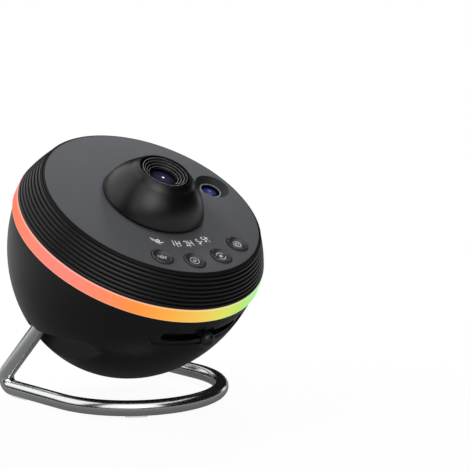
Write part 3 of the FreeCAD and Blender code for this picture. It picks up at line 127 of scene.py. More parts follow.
class Term:
    """A shader value that takes part in Python arithmetic."""

    __add__ = __radd__ = maths("ADD")
    __sub__, __rsub__ = maths("SUBTRACT"), maths("SUBTRACT", swapped=True)
    __mul__, __truediv__, __pow__ = maths("MULTIPLY"), maths("DIVIDE"), maths("POWER")
    above, below = maths("GREATER_THAN"), maths("LESS_THAN")
    size, root, wave = maths("ABSOLUTE"), maths("SQRT"), maths("SINE")
    # north.angle_to(east) is the angle of a point from the east, in radians.
    angle_to = maths("ARCTAN2")

    def __init__(self, net: "Net", socket: bpy.types.NodeSocket) -> None:
        """Wrap an output socket of a material's network."""
        self.net = net
        self.socket = socket

    def far(self, other: "Term") -> "Term":
        """Distance of the point (self, other) from zero."""
        return (self ** 2.0 + other ** 2.0).root()

    def swing(self, amount: float) -> "Term":
        """Sway of a pattern about its middle, 0.5, times an amount."""
        return (self - 0.5) * amount

    def blend(self, start: float, end: float) -> "Term":
        """Smooth step.

        Args:
            start: Value at which it is 0.
            end: Value at which it is 1.

        Returns:
            The step, from 0 to 1.
        """
        node = self.net.node("ShaderNodeMapRange",
                             {"Value": self, "From Min": start, "From Max": end},
                             interpolation_type="SMOOTHSTEP", clamp=True)
        return Term(self.net, node.outputs[0])


class Net:
    """Node network of one material, or of the world."""

    def __init__(self, name: str, sky: bool = False) -> None:
        """Start an empty network.

        Args:
            name: Name of the material or world.
            sky: Whether it is the world's.
        """
        self.owner = bpy.data.worlds.new(name) if sky else bpy.data.materials.new(name)
        self.owner.use_nodes = True
        self.tree = self.owner.node_tree
        self.tree.nodes.clear()

    def node(self, kind: str, inputs: Optional[dict[Any, Any]] = None,
             **settings: Any) -> bpy.types.Node:
        """Add a node, set it up, then give its inputs their values or links.

        Args:
            kind: Blender's type of the node.
            inputs: Its inputs, by name or place.
            **settings: Its settings.

        Returns:
            The node.
        """
        made = self.tree.nodes.new(kind)
        for key, value in settings.items():
            setattr(made, key, value)
        for key, value in (inputs or {}).items():
            self._feed(made.inputs[key], value)
        return made

    def _feed(self, socket: bpy.types.NodeSocket, value: Any) -> None:
        """Link or set one input.

        Args:
            socket: The input.
            value: A term or socket to link, or a plain value.
        """
        if isinstance(value, Term):
            value = value.socket
        if isinstance(value, bpy.types.NodeSocket):
            self.tree.links.new(value, socket)
        elif socket.type == "RGBA":
            socket.default_value = (*value, 1.0)
        else:
            socket.default_value = value

    @cached_property
    def point(self) -> bpy.types.NodeSocket:
        """Place on the part, in the part's own frame."""
        return self.node("ShaderNodeTexCoord").outputs["Object"]

    def split(self, vector: bpy.types.NodeSocket) -> tuple[Term, ...]:
        """The three parts of a vector."""
        parts = self.node("ShaderNodeSeparateXYZ", {0: vector})
        return tuple(Term(self, part) for part in parts.outputs)

    def axes(self, centre: Sequence[float], turn: Sequence[float]) -> tuple[Term, ...]:
        """Place in other axes.

        Args:
            centre: Where the axes start.
            turn: How they are turned, in radians about X, Y and Z.

        Returns:
            The three coordinates, in metres.
        """
        made = self.node("ShaderNodeMapping", {"Vector": self.point, "Location": centre,
                                               "Rotation": Euler(turn)}, vector_type="TEXTURE")
        return self.split(made.outputs[0])

    def head_point(self) -> tuple[Term, ...]:
        """Place forward, sideways and along the head's axis, in metres."""
        return self.axes(HEAD_CENTRE, (0.0, TILT, 0.0))

    def noise(self, scale: float, detail: float = 3.0, roughness: float = 0.55,
              stretch: Sequence[float] = (1.0, 1.0, 1.0)) -> Term:
        """Cloudy pattern.

        Args:
            scale: Lumps in a metre.
            detail: Octaves.
            roughness: Weight of the fine octaves.
            stretch: Scale along each axis.

        Returns:
            A value about 0.5.
        """
        place = self.node("ShaderNodeMapping", {"Vector": self.point, "Scale": stretch})
        made = self.node("ShaderNodeTexNoise",
                         {"Vector": place.outputs[0], "Scale": scale, "Detail": detail,
                          "Roughness": roughness})
        return Term(self, made.outputs["Fac"])

    def speckle(self, scale: float) -> Term:
        """Fine cellular grain: distance to the nearest cell centre."""
        made = self.node("ShaderNodeTexVoronoi", {"Vector": self.point, "Scale": scale})
        return Term(self, made.outputs["Distance"])

    def mix(self, share: Any, first: Any, second: Any) -> bpy.types.NodeSocket:
        """Mix two colours.

        Args:
            share: Share of the second colour.
            first: First colour.
            second: Second colour.

        Returns:
            The mixed colour's socket.
        """
        inputs = {0: share, 6: first, 7: second}
        return self.node("ShaderNodeMix", inputs, data_type="RGBA").outputs[2]

    def ramp(self, share: Term, stops: Sequence[tuple[float, Colour]]) -> bpy.types.NodeSocket:
        """Colours spread over a value.

        Args:
            share: The value, from 0 to 1.
            stops: Position and colour of each stop.

        Returns:
            The colour's socket.
        """
        made = self.node("ShaderNodeValToRGB", {0: share})
        elements = made.color_ramp.elements
        while len(elements) < len(stops):
            elements.new(1.0)
        for element, (place, colour) in zip(elements, stops):
            element.position, element.color = place, (*colour, 1.0)
        return made.outputs[0]

    def bump(self, height: Term, depth: float, strength: float) -> bpy.types.NodeSocket:
        """Normal of a surface relief.

        Args:
            height: Height, 0 to 1.
            depth: Height of 1, in millimetres.
            strength: Strength of the relief.

        Returns:
            The normal.
        """
        inputs = {"Height": height, "Distance": depth * MM, "Strength": strength}
        return self.node("ShaderNodeBump", inputs).outputs[0]

    def blended(self, share: Term, first: bpy.types.Node,
                second: bpy.types.Node) -> bpy.types.Node:
        """Mix two shaders by the share of the second."""
        return self.node("ShaderNodeMixShader",
                         {0: share, 1: first.outputs[0], 2: second.outputs[0]})

    def show(self, shader: bpy.types.Node) -> Any:
        """Make a shader the surface.

        Args:
            shader: The shader's node.

        Returns:
            The material, or the world.
        """
        is_sky = isinstance(self.owner, bpy.types.World)
        kind = "ShaderNodeOutputWorld" if is_sky else "ShaderNodeOutputMaterial"
        self.node(kind, {"Surface": shader.outputs[0]})
        return self.owner


# ---- Finishes ----
@dataclass(frozen=True)
class Finish:
    """Surface finish. Each kind works out its own shader inputs."""

    name: str

    @cache
    def material(self) -> bpy.types.Material:
        """Build the material, once for each finish.

        Returns:
            The material.
        """
        net = Net(self.name)
        return net.show(net.node("ShaderNodeBsdfPrincipled", self.look(net)))

    def look(self, net: Net) -> Shade:
        """Work out the shader's inputs.

        Args:
            net: The material's network.

        Returns:
            The inputs by name.
        """
        raise NotImplementedError


@dataclass(frozen=True)
class MouldedPlastic(Finish):
    """Moulded plastic with a fine spark-eroded texture."""

    colour: Colour
    roughness: float = 0.42
    grain: float = 4200.0
    relief: float = 0.03
    specular: float = 0.35
    mottle: float = 0.18

    def tone(self, net: Net, share: Term) -> bpy.types.NodeSocket:
        """Mottled colour."""
        return net.mix(share, toned(self.colour, 1 - self.mottle),
                       toned(self.colour, 1 + self.mottle))

    def look(self, net: Net) -> Shade:
        """Work out the shader's inputs.

        Args:
            net: The material's network.

        Returns:
            The inputs.
        """
        cloud, grain = net.noise(34.0, 4.0), net.speckle(self.grain)
        fine = net.noise(self.grain * 0.7, 2.0)
        return {"Base Color": self.tone(net, cloud * 0.7 + grain * 0.5),
                "Roughness": self.roughness + cloud.swing(0.10) + fine.swing(0.06),
                "Normal": net.bump(grain * 0.7 + fine * 0.5, self.relief, 0.6),
                "Specular IOR Level": self.specular}


@dataclass(frozen=True)
class DeckPlastic(MouldedPlastic):
    """Moulded plastic, darker outside its flat face, and darker in what is sunk below it as painted
    shade.
    """

    face_radius: float = 57.4
    face_height: float = DECK_TOP - 0.1
    side: Colour = ink(11, 11, 12)
    # Painted shade: darker colour for the meteor dish and key wells sunk below the face.
    sunk: Colour = ink(44, 44, 46)

    def tone(self, net: Net, share: Term) -> bpy.types.NodeSocket:
        """Mottled colour, with that of the side and the painted shade of what is sunk.

        Args:
            net: The material's network.
            share: The mottle.

        Returns:
            The colour's socket.
        """
        forward, sideways, along = net.head_point()
        # Painted shade in the sunk dish and key wells.
        inside = net.mix(along.below(self.face_height * MM), super().tone(net, share), self.sunk)
        return net.mix(forward.far(sideways).above(self.face_radius * MM), inside, self.side)


@dataclass(frozen=True)
class RingedGlossPaintedGlints(Finish):
    """Glossy black moulding with pale lines painted on its stepped rings: painted highlights where
    their edges would catch the light.
    """

    colour: Colour
    # Pale colour of the painted highlight lines on the rings' edges.
    edge: Colour
    outer: float
    pitch: float
    glint_band: Point = (0.80, 0.99)
    roughness: float = 0.26
    specular: float = 0.28

    def look(self, net: Net) -> Shade:
        """Work out the shader's inputs.

        Args:
            net: The material's network.

        Returns:
            The inputs.
        """
        forward, sideways, _along = net.head_point()
        inward = self.outer * MM - forward.far(sideways)
        # Painted highlight: pale lines at each step's edge, spaced by the pitch.
        glint_wave = (inward * (math.tau / (self.pitch * MM)) + math.pi / 2).wave()
        cloud = net.noise(300.0)
        line = glint_wave.blend(*self.glint_band) * (0.7 + cloud * 0.6)
        return {"Base Color": net.mix(line, self.colour, self.edge),
                "Roughness": self.roughness + cloud.swing(0.08),
                "Specular IOR Level": self.specular,
                "Normal": net.bump(cloud, 0.004, 0.4)}


@dataclass(frozen=True)
class RingWithPaintedInnerShade(Finish):
    """Pale grey ring whose inside, below its top edge, is darkened as painted shade."""

    lip: Colour
    # Painted shade: dark colour of the ring's inside wall.
    inside: Colour
    height: float
    shade_fade: Point = (0.5, 0.3)
    roughness: float = 0.25

    def look(self, net: Net) -> Shade:
        """Work out the shader's inputs.

        Args:
            net: The material's network.

        Returns:
            The inputs.
        """
        _forward, _sideways, along = net.head_point()
        cloud = net.noise(400.0)
        start, end = ((self.height - below) * MM for below in self.shade_fade)
        # Painted shade on the inside wall, fading into the pale lip at the top.
        share = along.blend(start, end) * (0.9 + cloud * 0.1)
        return {"Base Color": net.mix(share, self.inside, self.lip),
                "Roughness": self.roughness + cloud.swing(0.06),
                "Normal": net.bump(cloud, 0.003, 0.3)}


@dataclass(frozen=True)
class PolishedChrome(Finish):
    """Bright chrome plate with faint ripple and handling haze."""

    colour: Colour = (0.91, 0.92, 0.93)
    roughness: float = 0.17

    def look(self, net: Net) -> Shade:
        """Work out the shader's inputs.

        Args:
            net: The material's network.

        Returns:
            The inputs.
        """
        haze, ripple = net.noise(60.0, 4.0), net.noise(140.0, 2.0)
        return {"Base Color": net.mix(haze, toned(self.colour, 0.96), self.colour),
                "Metallic": 1.0, "Roughness": self.roughness + haze.blend(0.5, 0.8) * 0.05,
                "Normal": net.bump(ripple, 0.002, 0.1)}


@dataclass(frozen=True)
class BareMetal(Finish):
    """Plain pressed or turned metal with drawn lines."""

    colour: Colour
    roughness: float = 0.32

    def look(self, net: Net) -> Shade:
        """Work out the shader's inputs.

        Args:
            net: The material's network.

        Returns:
            The inputs.
        """
        haze = net.noise(90.0, 4.0)
        lines = net.noise(1900.0, 3.0, 0.6, (0.1, 1.0, 1.0))
        return {"Base Color": net.mix(haze, toned(self.colour, 0.78), self.colour),
                "Metallic": 1.0, "Roughness": self.roughness + haze.swing(0.12) + lines.swing(0.12),
                "Normal": net.bump(lines, 0.02, 0.4)}


@dataclass(frozen=True)
class GlowingDiffuser(Finish):
    """Milky band, lit from inside in colours that drift round the head, with painted highlights
    along its rims.
    """

    height: float
    glow: float = 1.0
    roughness: float = 0.42
    specular: float = 0.25
    # Paler colour of the painted rim highlights.
    pale: Colour = (0.95, 0.86, 0.80)
    unlit: Colour = (0.02, 0.02, 0.02)
    colours: tuple[tuple[float, Colour], ...] = (
        (-180.0, (245, 95, 190)), (-150.0, (252, 96, 110)), (-120.0, (246, 118, 78)),
        (-96.0, (250, 128, 106)), (-72.0, (248, 128, 116)), (-56.0, (248, 132, 96)),
        (-40.0, (250, 140, 50)), (-24.0, (245, 168, 56)), (-8.0, (236, 196, 76)),
        (4.0, (214, 218, 86)), (16.0, (176, 226, 100)), (32.0, (160, 228, 150)),
        (70.0, (60, 205, 215)), (108.0, (70, 130, 245)), (146.0, (150, 90, 240)),
        (180.0, (245, 95, 190)))

    def look(self, net: Net) -> Shade:
        """Work out the shader's inputs.

        Args:
            net: The material's network.

        Returns:
            The inputs.
        """
        forward, sideways, along = net.head_point()
        turn = sideways.angle_to(forward) / math.tau + 0.5
        hue = net.ramp(turn, [(degrees / 360 + 0.5, ink(*colour))
                              for degrees, colour in self.colours])
        milk = net.noise(220.0)
        # Painted highlight: the glow turns paler along the band's top and bottom rims.
        edge = (along / (self.height * MM) - 0.5).size().blend(0.40, 0.50)
        shade = net.mix(edge * 0.5 + milk * 0.05, hue, net.mix(0.6, hue, self.pale))
        return {"Base Color": net.mix(0.88, hue, self.unlit),
                "Roughness": self.roughness + milk.swing(0.1), "Emission Color": shade,
                "Emission Strength": self.glow, "Specular IOR Level": self.specular,
                "Normal": net.bump(milk, 0.01, 0.3)}


@dataclass(frozen=True)
class GlassPaintedHighlightAndShade(Finish):
    """Lens glass whose colour is painted: a lighter tint at the centre as painted highlight, darker
    towards the rim as painted shade of the dark inside of its tube.
    """

    centre: Colour
    edge: Colour
    middle: Point
    radius: float
    spread: Point = (0.15, 0.95)
    roughness: float = 0.04
    specular: float = 0.6

    def look(self, net: Net) -> Shade:
        """Work out the shader's inputs.

        Args:
            net: The material's network.

        Returns:
            The inputs.
        """
        forward, sideways, _along = net.head_point()
        across = (forward - self.middle[0] * MM).far(sideways - self.middle[1] * MM)
        dust = net.noise(900.0)
        # Painted highlight at the centre, fading to painted shade towards the rim.
        share = (across / (self.radius * MM)).blend(*self.spread)
        return {"Base Color": net.mix(share, self.centre, self.edge),
                "Roughness": self.roughness + dust.blend(0.55, 0.9) * 0.05,
                "Specular IOR Level": self.specular}


@dataclass(frozen=True)
class PrintedInk(Finish):
    """Screen-printed legend, made to glow as painted light."""

    colour: Colour
    # Emission that brightens the print: painted light.
    glow: float
    roughness: float = 0.55

    def look(self, net: Net) -> Shade:
        """Work out the shader's inputs.

        Args:
            net: The material's network.

        Returns:
            The inputs.
        """
        wear = net.noise(1500.0)
        share = wear.blend(0.45, 0.9) * 0.4
        # The emission is painted light, a glow on the print.
        return {"Base Color": net.mix(share, self.colour, toned(self.colour, 0.7)),
                "Roughness": self.roughness + wear.swing(0.2), "Emission Color": self.colour,
                "Emission Strength": self.glow, "Normal": net.bump(wear, 0.01, 0.3)}


@dataclass(frozen=True)
class ClearPlastic(Finish):
    """Clear moulded plastic, as in a light guide or a printed film."""

    colour: Colour
    alpha: float = 0.55
    roughness: float = 0.15

    def look(self, net: Net) -> Shade:
        """Work out the shader's inputs.

        Args:
            net: The material's network.

        Returns:
            The inputs.
        """
        haze = net.noise(300.0)
        return {"Base Color": net.mix(haze, self.colour, toned(self.colour, 0.8)),
                "Roughness": self.roughness + haze * 0.1,
                "Alpha": self.alpha + haze.swing(0.1)}


# ---- Modelling steps ----
def turned(degrees: float) -> Matrix:
    """Turn about the Z axis."""
    return Matrix.Rotation(math.radians(degrees), 4, "Z")


def moved(east: float, north: float = 0.0, up: float = 0.0) -> Matrix:
    """Move by so many millimetres."""
    return Matrix.Translation(Vector((east, north, up)) * MM)


def arc_points(first: Point, middle: Point, last: Point, count: int) -> list[Point]:
    """Points along the circle through three points.

    Args:
        first: First point.
        middle: A point between.
        last: Last point.
        count: Steps along the arc.

    Returns:
        The points from the first up to just before the last.
    """
    start, between, end = complex(*first), complex(*middle), complex(*last)
    side = (end - start) / (between - start)
    centre = start + (between - start) * (side - abs(side) ** 2) / (2j * side.imag)
    way = cmath.phase((end - centre) / (start - centre)) % math.tau
    if side.imag < 0:
        way -= math.tau
    spots = [centre + (start - centre) * cmath.rect(1.0, way * k / count) for k in range(count)]
    return [(spot.real, spot.imag) for spot in spots]


def cap_points(radius: float, rim: float, crown: float, count: int) -> list[Point]:
    """Points of a spherical cap, from its rim in to the axis.

    Args:
        radius: Radius of the first point.
        rim: Radius at which the cap has its foot.
        crown: Height of the cap over its foot.
        count: Steps to the axis.

    Returns:
        Radius and height over the crown of each point, the one on the axis last.
    """
    sphere = (rim * rim + crown * crown) / (2 * crown)
    steps = [radius * (1 - k / count) for k in range(count + 1)]
    return [(r, math.sqrt(sphere ** 2 - r * r) - sphere) for r in steps]


class Bench:
    """Steps by hand that every sub-assembly is modelled with. Sizes are in millimetres."""

    @staticmethod
    def clear() -> None:
        """Leave edit mode and deselect everything."""
        active = bpy.context.view_layer.objects.active
        if active is not None and active.mode != "OBJECT":
            bpy.ops.object.mode_set(mode="OBJECT")
        bpy.ops.object.select_all(action="DESELECT")

    @classmethod
    def pick(cls, *objects: bpy.types.Object) -> None:
        """Select objects alone.

        Args:
            *objects: The objects, the active one first.
        """
        cls.clear()
        for one in objects:
            one.select_set(True)
        bpy.context.view_layer.objects.active = objects[0]

    @classmethod
    def edit(cls, piece: bpy.types.Object) -> None:
        """Open a piece in edit mode with all of it selected.

        Args:
            piece: The piece.
        """
        cls.pick(piece)
        bpy.ops.object.mode_set(mode="EDIT")
        bpy.ops.mesh.select_all(action="SELECT")

    @staticmethod
    def named(name: str) -> bpy.types.Object:
        """Name the object just made, and put its place into its mesh.

        Args:
            name: Name of the piece.

        Returns:
            The object.
        """
        made = bpy.context.object
        made.name = made.data.name = name
        bpy.ops.object.transform_apply(location=True, rotation=True, scale=True)
        return made

    @classmethod
    def set_down(cls, piece: bpy.types.Object, place: Matrix) -> bpy.types.Object:
        """Put a piece in place, with its place in its mesh.

        Args:
            piece: The piece.
            place: Its place.

        Returns:
            The piece.
        """
        cls.pick(piece)
        piece.matrix_world = place
        bpy.ops.object.transform_apply(location=True, rotation=True, scale=True)
        return piece

    @classmethod
    def close(cls, piece: bpy.types.Object, smooth: float = 38.0) -> bpy.types.Object:
        """Merge doubles, turn the faces outwards and smooth the shading.

        Args:
            piece: The piece, in any mode.
            smooth: Largest angle that is shaded smooth, in degrees.

        Returns:
            The piece.
        """
        cls.edit(piece)
        bpy.ops.mesh.remove_doubles(threshold=WELD)
        bpy.ops.mesh.normals_make_consistent(inside=False)
        bpy.ops.object.mode_set(mode="OBJECT")
        bpy.ops.object.shade_smooth_by_angle(angle=math.radians(smooth))
        return piece

    @classmethod
    def outline(cls, name: str, points: Sequence[Point]) -> bpy.types.Object:
        """Draw a closed chain of edges in the XZ plane, select it and stay in edit mode.

        Args:
            name: Name of the piece.
            points: Radius and height of each point.

        Returns:
            The object.
        """
        cls.clear()
        start = Vector((points[0][0], 0.0, points[0][1])) * MM
        bpy.ops.mesh.primitive_plane_add(size=MM, location=start)
        made = cls.named(name)
        cls.edit(made)
        bpy.ops.mesh.merge(type="CENTER")
        for (r0, h0), (r1, h1) in zip(points, (*points[1:], points[0])):
            step = ((r1 - r0) * MM, 0.0, (h1 - h0) * MM)
            bpy.ops.mesh.extrude_region_move(TRANSFORM_OT_translate={"value": step})
        bpy.ops.mesh.select_all(action="SELECT")
        return made

    @classmethod
    def lathe(cls, name: str, points: Sequence[Point], steps: int,
              smooth: float = 38.0) -> bpy.types.Object:
        """Turn an outline once round the Z axis.

        Args:
            name: Name of the piece.
            points: Radius and height of each point of the outline.
            steps: Facets round the axis.
            smooth: Largest angle that is shaded smooth, in degrees.

        Returns:
            The piece, about the Z axis.
        """
        made = cls.outline(name, points)
        bpy.ops.mesh.spin(steps=steps, angle=math.tau, center=(0, 0, 0), axis=(0, 0, 1))
        return cls.close(made, smooth)

    @classmethod
    def lettering(cls, name: str, text: str, size: float, squeeze: float,
                  span: Point) -> bpy.types.Object:
        """Letters as a mesh, centred on the Z axis and facing up.

        Args:
            name: Name of the piece.
            text: The letters.
            size: Height of the type.
            squeeze: Width of the letters, as a share of their own.
            span: Heights of their under side and top.

        Returns:
            The letters.
        """
        cls.clear()
        bpy.ops.object.text_add()
        type_face = bpy.context.object.data
        type_face.body = text
        type_face.size = size * MM
        type_face.align_x = type_face.align_y = "CENTER"
        type_face.extrude = (span[1] - span[0]) / 2 * MM
        type_face.offset = 0.004 * size * MM
        type_face.resolution_u = 6
        bpy.ops.object.convert(target="MESH")
        place = moved(0.0, 0.0, sum(span) / 2) @ Matrix.Diagonal((squeeze, 1.0, 1.0, 1.0))
        return cls.close(cls.set_down(cls.named(name), place), smooth=30.0)

    @classmethod
    def mark(cls, name: str, strokes: Iterable["Stroke"], span: Point) -> bpy.types.Object:
        """Symbol of several strokes, facing up about the Z axis.

        Args:
            name: Name of the piece.
            strokes: Its strokes.
            span: Heights of its under side and top.

        Returns:
            The symbol.
        """
        cls.pick(*[stroke.build(span) for stroke in strokes])
        bpy.ops.object.join()
        return cls.named(name)

    @classmethod
    def refined(cls, name: str, node: str, smooth: float) -> bpy.types.Object:
        """Welded, smooth-shaded copy of a CAD node.

        Args:
            name: Name of the piece.
            node: The node.
            smooth: Largest angle that is shaded smooth, in degrees.

        Returns:
            The piece.
        """
        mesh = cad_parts[node].data.copy()
        mesh.materials.clear()
        mesh.name = name
        made = bpy.data.objects.new(name, mesh)
        bpy.context.scene.collection.objects.link(made)
        cls.edit(made)
        bpy.ops.mesh.customdata_custom_splitnormals_clear()
        bpy.ops.mesh.remove_doubles(threshold=WELD)
        bpy.ops.object.mode_set(mode="OBJECT")
        bpy.ops.object.shade_smooth_by_angle(angle=math.radians(smooth))
        return made


@dataclass(frozen=True)
class Arc:
    """Flat curved stroke between two angles in degrees, or a whole ring."""

    inner: float
    outer: float
    start: float = 0.0
    end: float = 360.0
    aside: float = 0.0

    def build(self, span: Point) -> bpy.types.Object:
        """Model the stroke.

        Args:
            span: Heights of its under side and top.

        Returns:
            The stroke.
        """
        low, high = span
        made = Bench.outline("arc", [(self.inner, low), (self.outer, low), (self.outer, high),
                                     (self.inner, high)])
        bpy.ops.mesh.remove_doubles(threshold=WELD)
        sweep = self.end - self.start
        if sweep < 360.0:
            bpy.ops.mesh.edge_face_add()
        bpy.ops.mesh.spin(steps=round(sweep / 9.0), angle=-math.radians(sweep),
                          center=(0, 0, 0), axis=(0, 0, 1))
        place = moved(self.aside) @ turned(self.start)
        return Bench.close(Bench.set_down(made, place), smooth=30.0)


@dataclass(frozen=True)
class Bar:
    """Flat straight stroke between two points seen from above."""

    start: Point
    end: Point
    width: float

    def build(self, span: Point) -> bpy.types.Object:
        """Model the stroke.

        Args:
            span: Heights of its under side and top.

        Returns:
            The stroke.
        """
        Bench.clear()
        thick = span[1] - span[0]
        run = Vector(self.end) - Vector(self.start)
        middle = (Vector(self.end) + Vector(self.start)) / 2
        bpy.ops.mesh.primitive_cube_add(
            size=1.0, location=Vector((*middle, sum(span) / 2)) * MM,
            rotation=(0, 0, math.atan2(run.y, run.x)),
            scale=Vector((run.length, self.width, thick)) * MM)
        made = Bench.named("bar")
        Bench.edit(made)
        bpy.ops.mesh.bevel(offset=min(self.width, thick) * 0.2 * MM, segments=2)
        return Bench.close(made, smooth=30.0)


Stroke = Union[Arc, Bar]


def dress(piece: bpy.types.Object, body: Body, finish: Finish, slot: str, *nodes: str,
          place: Optional[Matrix] = None) -> None:
    """Give a piece its place, body and finish, and hide what it stands for.

    Args:
        piece: The piece.
        body: The body it rides on.
        finish: Its finish.
        slot: The record's material slot; not used.
        *nodes: CAD nodes that it replaces.
        place: Where it is set down, unless it is there already.
    """
    if place is not None:
        Bench.set_down(piece, place)
    piece.data.materials.clear()
    piece.data.materials.append(finish.material())
    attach(piece, body.value)
    if nodes:
        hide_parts(*nodes)
    log.info("piece %s on %s: %d faces", piece.name, body.value, len(piece.data.polygons))


def repaint(finish: Finish, *nodes: str) -> None:
    """Give CAD nodes that stay as they are a better finish.

    Args:
        finish: The finish.
        *nodes: The nodes.
    """
    for node in nodes:
        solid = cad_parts[node]
        if not solid.material_slots:
            solid.data.materials.append(finish.material())
        for slot in solid.material_slots:
            slot.material = finish.material()
        log.info("node %s keeps its shape", node)


def both(*names: str) -> tuple[str, ...]:
    """Names of the left and the right one of each node."""
    return tuple(f"{name}_{side}" for name in names for side in ("left", "right"))


# ---- Sub-assemblies ----
@dataclass
class Stand:
    """Bent chromed tube with its pads and lugs, in millimetres from the head's centre."""

    tube: float = 4.0
    half: float = 46.8
    loop_back: float = 6.0
    bend: float = 5.0
    lean: float = 44.3
    rise: float = 78.3
    pivot_drop: float = 19.3
    arm_end: float = 30.0
    end_wall: float = 0.4
    facets: int = 48
    bend_steps: int = 28
    loop_steps: int = 96

    def build(self) -> None:
        """Model and dress the stand."""
        dress(self.bent_tube(), Body.STAND, PolishedChrome("polished_chrome"), "chromed_tube",
              "stand_tube", place=LEVEL)
        repaint(ClearPlastic("pad_silicone", ink(226, 226, 224), 0.3), "foot_pads")
        repaint(BareMetal("lug_zinc", (0.42, 0.43, 0.45)), *both("arm_lug"))

    def bent_tube(self) -> bpy.types.Object:
        """Extrude and spin a circle along the stand's line.

        Returns:
            The tube.
        """
        # The arms' line starts at the pivot and meets the table run's line at the corner.
        lean = math.radians(self.lean)
        drop = self.rise - self.pivot_drop
        corner = -drop * math.tan(lean)
        turn = math.pi / 2 + lean
        reach = self.bend * math.tan(turn / 2)
        arm = drop / math.cos(lean) - reach - self.arm_end
        up = Vector((math.sin(lean), 0.0, math.cos(lean)))
        top = Vector((0.0, -self.half, -self.pivot_drop)) - up * self.arm_end
        leg = Vector((-self.loop_back - corner - reach, 0, 0))
        bend_x, bend_z = corner + reach, -self.rise + self.bend
        Bench.clear()
        bpy.ops.mesh.primitive_circle_add(vertices=self.facets, radius=self.tube * MM,
                                          location=top * MM, rotation=(0.0, lean, 0.0),
                                          fill_type="NGON")
        made = Bench.named("tube_stand")
        Bench.edit(made)
        bpy.ops.mesh.inset(thickness=self.end_wall * MM, depth=0.0)
        bpy.ops.mesh.select_all(action="SELECT")
        bpy.ops.mesh.region_to_loop()
        for run, angle, centre, axis, steps in (
                (-up * arm, turn, (bend_x, -self.half, bend_z), (0, 1, 0), self.bend_steps),
                (leg, -math.pi, (-self.loop_back, 0.0, -self.rise), (0, 0, 1), self.loop_steps),
                (-leg, -turn, (bend_x, self.half, bend_z), (0, 1, 0), self.bend_steps)):
            self._run(run)
            bpy.ops.mesh.spin(steps=steps, angle=angle, center=Vector(centre) * MM, axis=axis)
        self._run(up * arm)
        bpy.ops.mesh.edge_face_add()
        return Bench.close(made, smooth=50.0)

    @staticmethod
    def _run(step: Vector) -> None:
        """Extrude the open end of the tube along a straight run."""
        bpy.ops.mesh.extrude_region_move(TRANSFORM_OT_translate={"value": step * MM})


@dataclass
class LowerShell:
    """Egg-shaped lower half with its cheeks, drawer recess and rear inlet."""

    crease: float = 24.0
    black: Finish = MouldedPlastic("shell_black", ink(13, 13, 14), 0.34, grain=5200.0,
                                   relief=0.008, specular=0.40, mottle=0.10)

    def build(self) -> None:
        """Copy the shell's CAD mesh, welded and smooth-shaded, and dress it."""
        dress(Bench.refined("shell_lower", "lower_shell", self.crease), Body.HEAD, self.black,
              "shell_plastic", "lower_shell")


@dataclass
class ColourBand:
    """Glowing band between the shell and the collar."""

    inner: float = 64.2
    outer: float = 67.0
    top: float = 66.6
    height: float = 7.0
    edge: float = 0.25
    inset: float = 0.07
    steps: int = 6

    def build(self) -> None:
        """Model and dress the band."""
        outer, top, high = self.outer, self.top, self.height
        points = [(self.inner, 0.0), (outer - self.edge, 0.0), (outer - self.inset, self.inset),
                  (outer, self.edge)]
        points += [(outer - (outer - top) * k / self.steps, high * k / self.steps)
                   for k in range(1, self.steps)]
        points += [(top, high - self.edge), (top - self.inset, high - self.inset),
                   (top - self.edge, high), (self.inner, high)]
        dress(Bench.lathe("colour_band", points, steps=256), Body.HEAD,
              GlowingDiffuser("glowing_band", high), "band_diffuser", "light_band", place=HEAD)


@dataclass
class Collar:
    """Ribbed collar from the band up to the deck."""

    foot: float = 65.85
    top: float = 57.45
    low: float = 7.0
    high: float = 22.3
    bulge: float = 0.6
    proud: float = 0.75
    ribs: int = 8
    rib_steps: int = 9
    wall: float = 2.0
    black: Finish = MouldedPlastic("collar_black", ink(11, 11, 12), 0.30, grain=5200.0,
                                   relief=0.008, specular=0.45, mottle=0.10)

    def root(self, height: float) -> Point:
        """Point of the collar's root line.

        Args:
            height: Height of the point.

        Returns:
            Its radius and height.
        """
        share = (height - self.low) / (DECK_TOP - self.low)
        return (self.foot + (self.top - self.foot) * share
                + self.bulge * 4 * share * (1 - share), height)

    def build(self) -> None:
        """Model and dress the collar."""
        pitch = (self.high - self.low) / self.ribs
        points: list[Point] = []
        for k in range(self.ribs):
            low = self.low + pitch * k
            radius, middle = self.root(low + pitch / 2)
            points += arc_points(self.root(low), (radius + self.proud, middle),
                                 self.root(low + pitch), self.rib_steps)
        crest = self.root(self.high)
        points += [crest, (crest[0] - self.wall, self.high), (self.foot - self.wall, self.low)]
        dress(Bench.lathe("collar_ribs", points, steps=224, smooth=50.0), Body.HEAD, self.black,
              "collar_plastic", "ribbed_collar", place=HEAD)


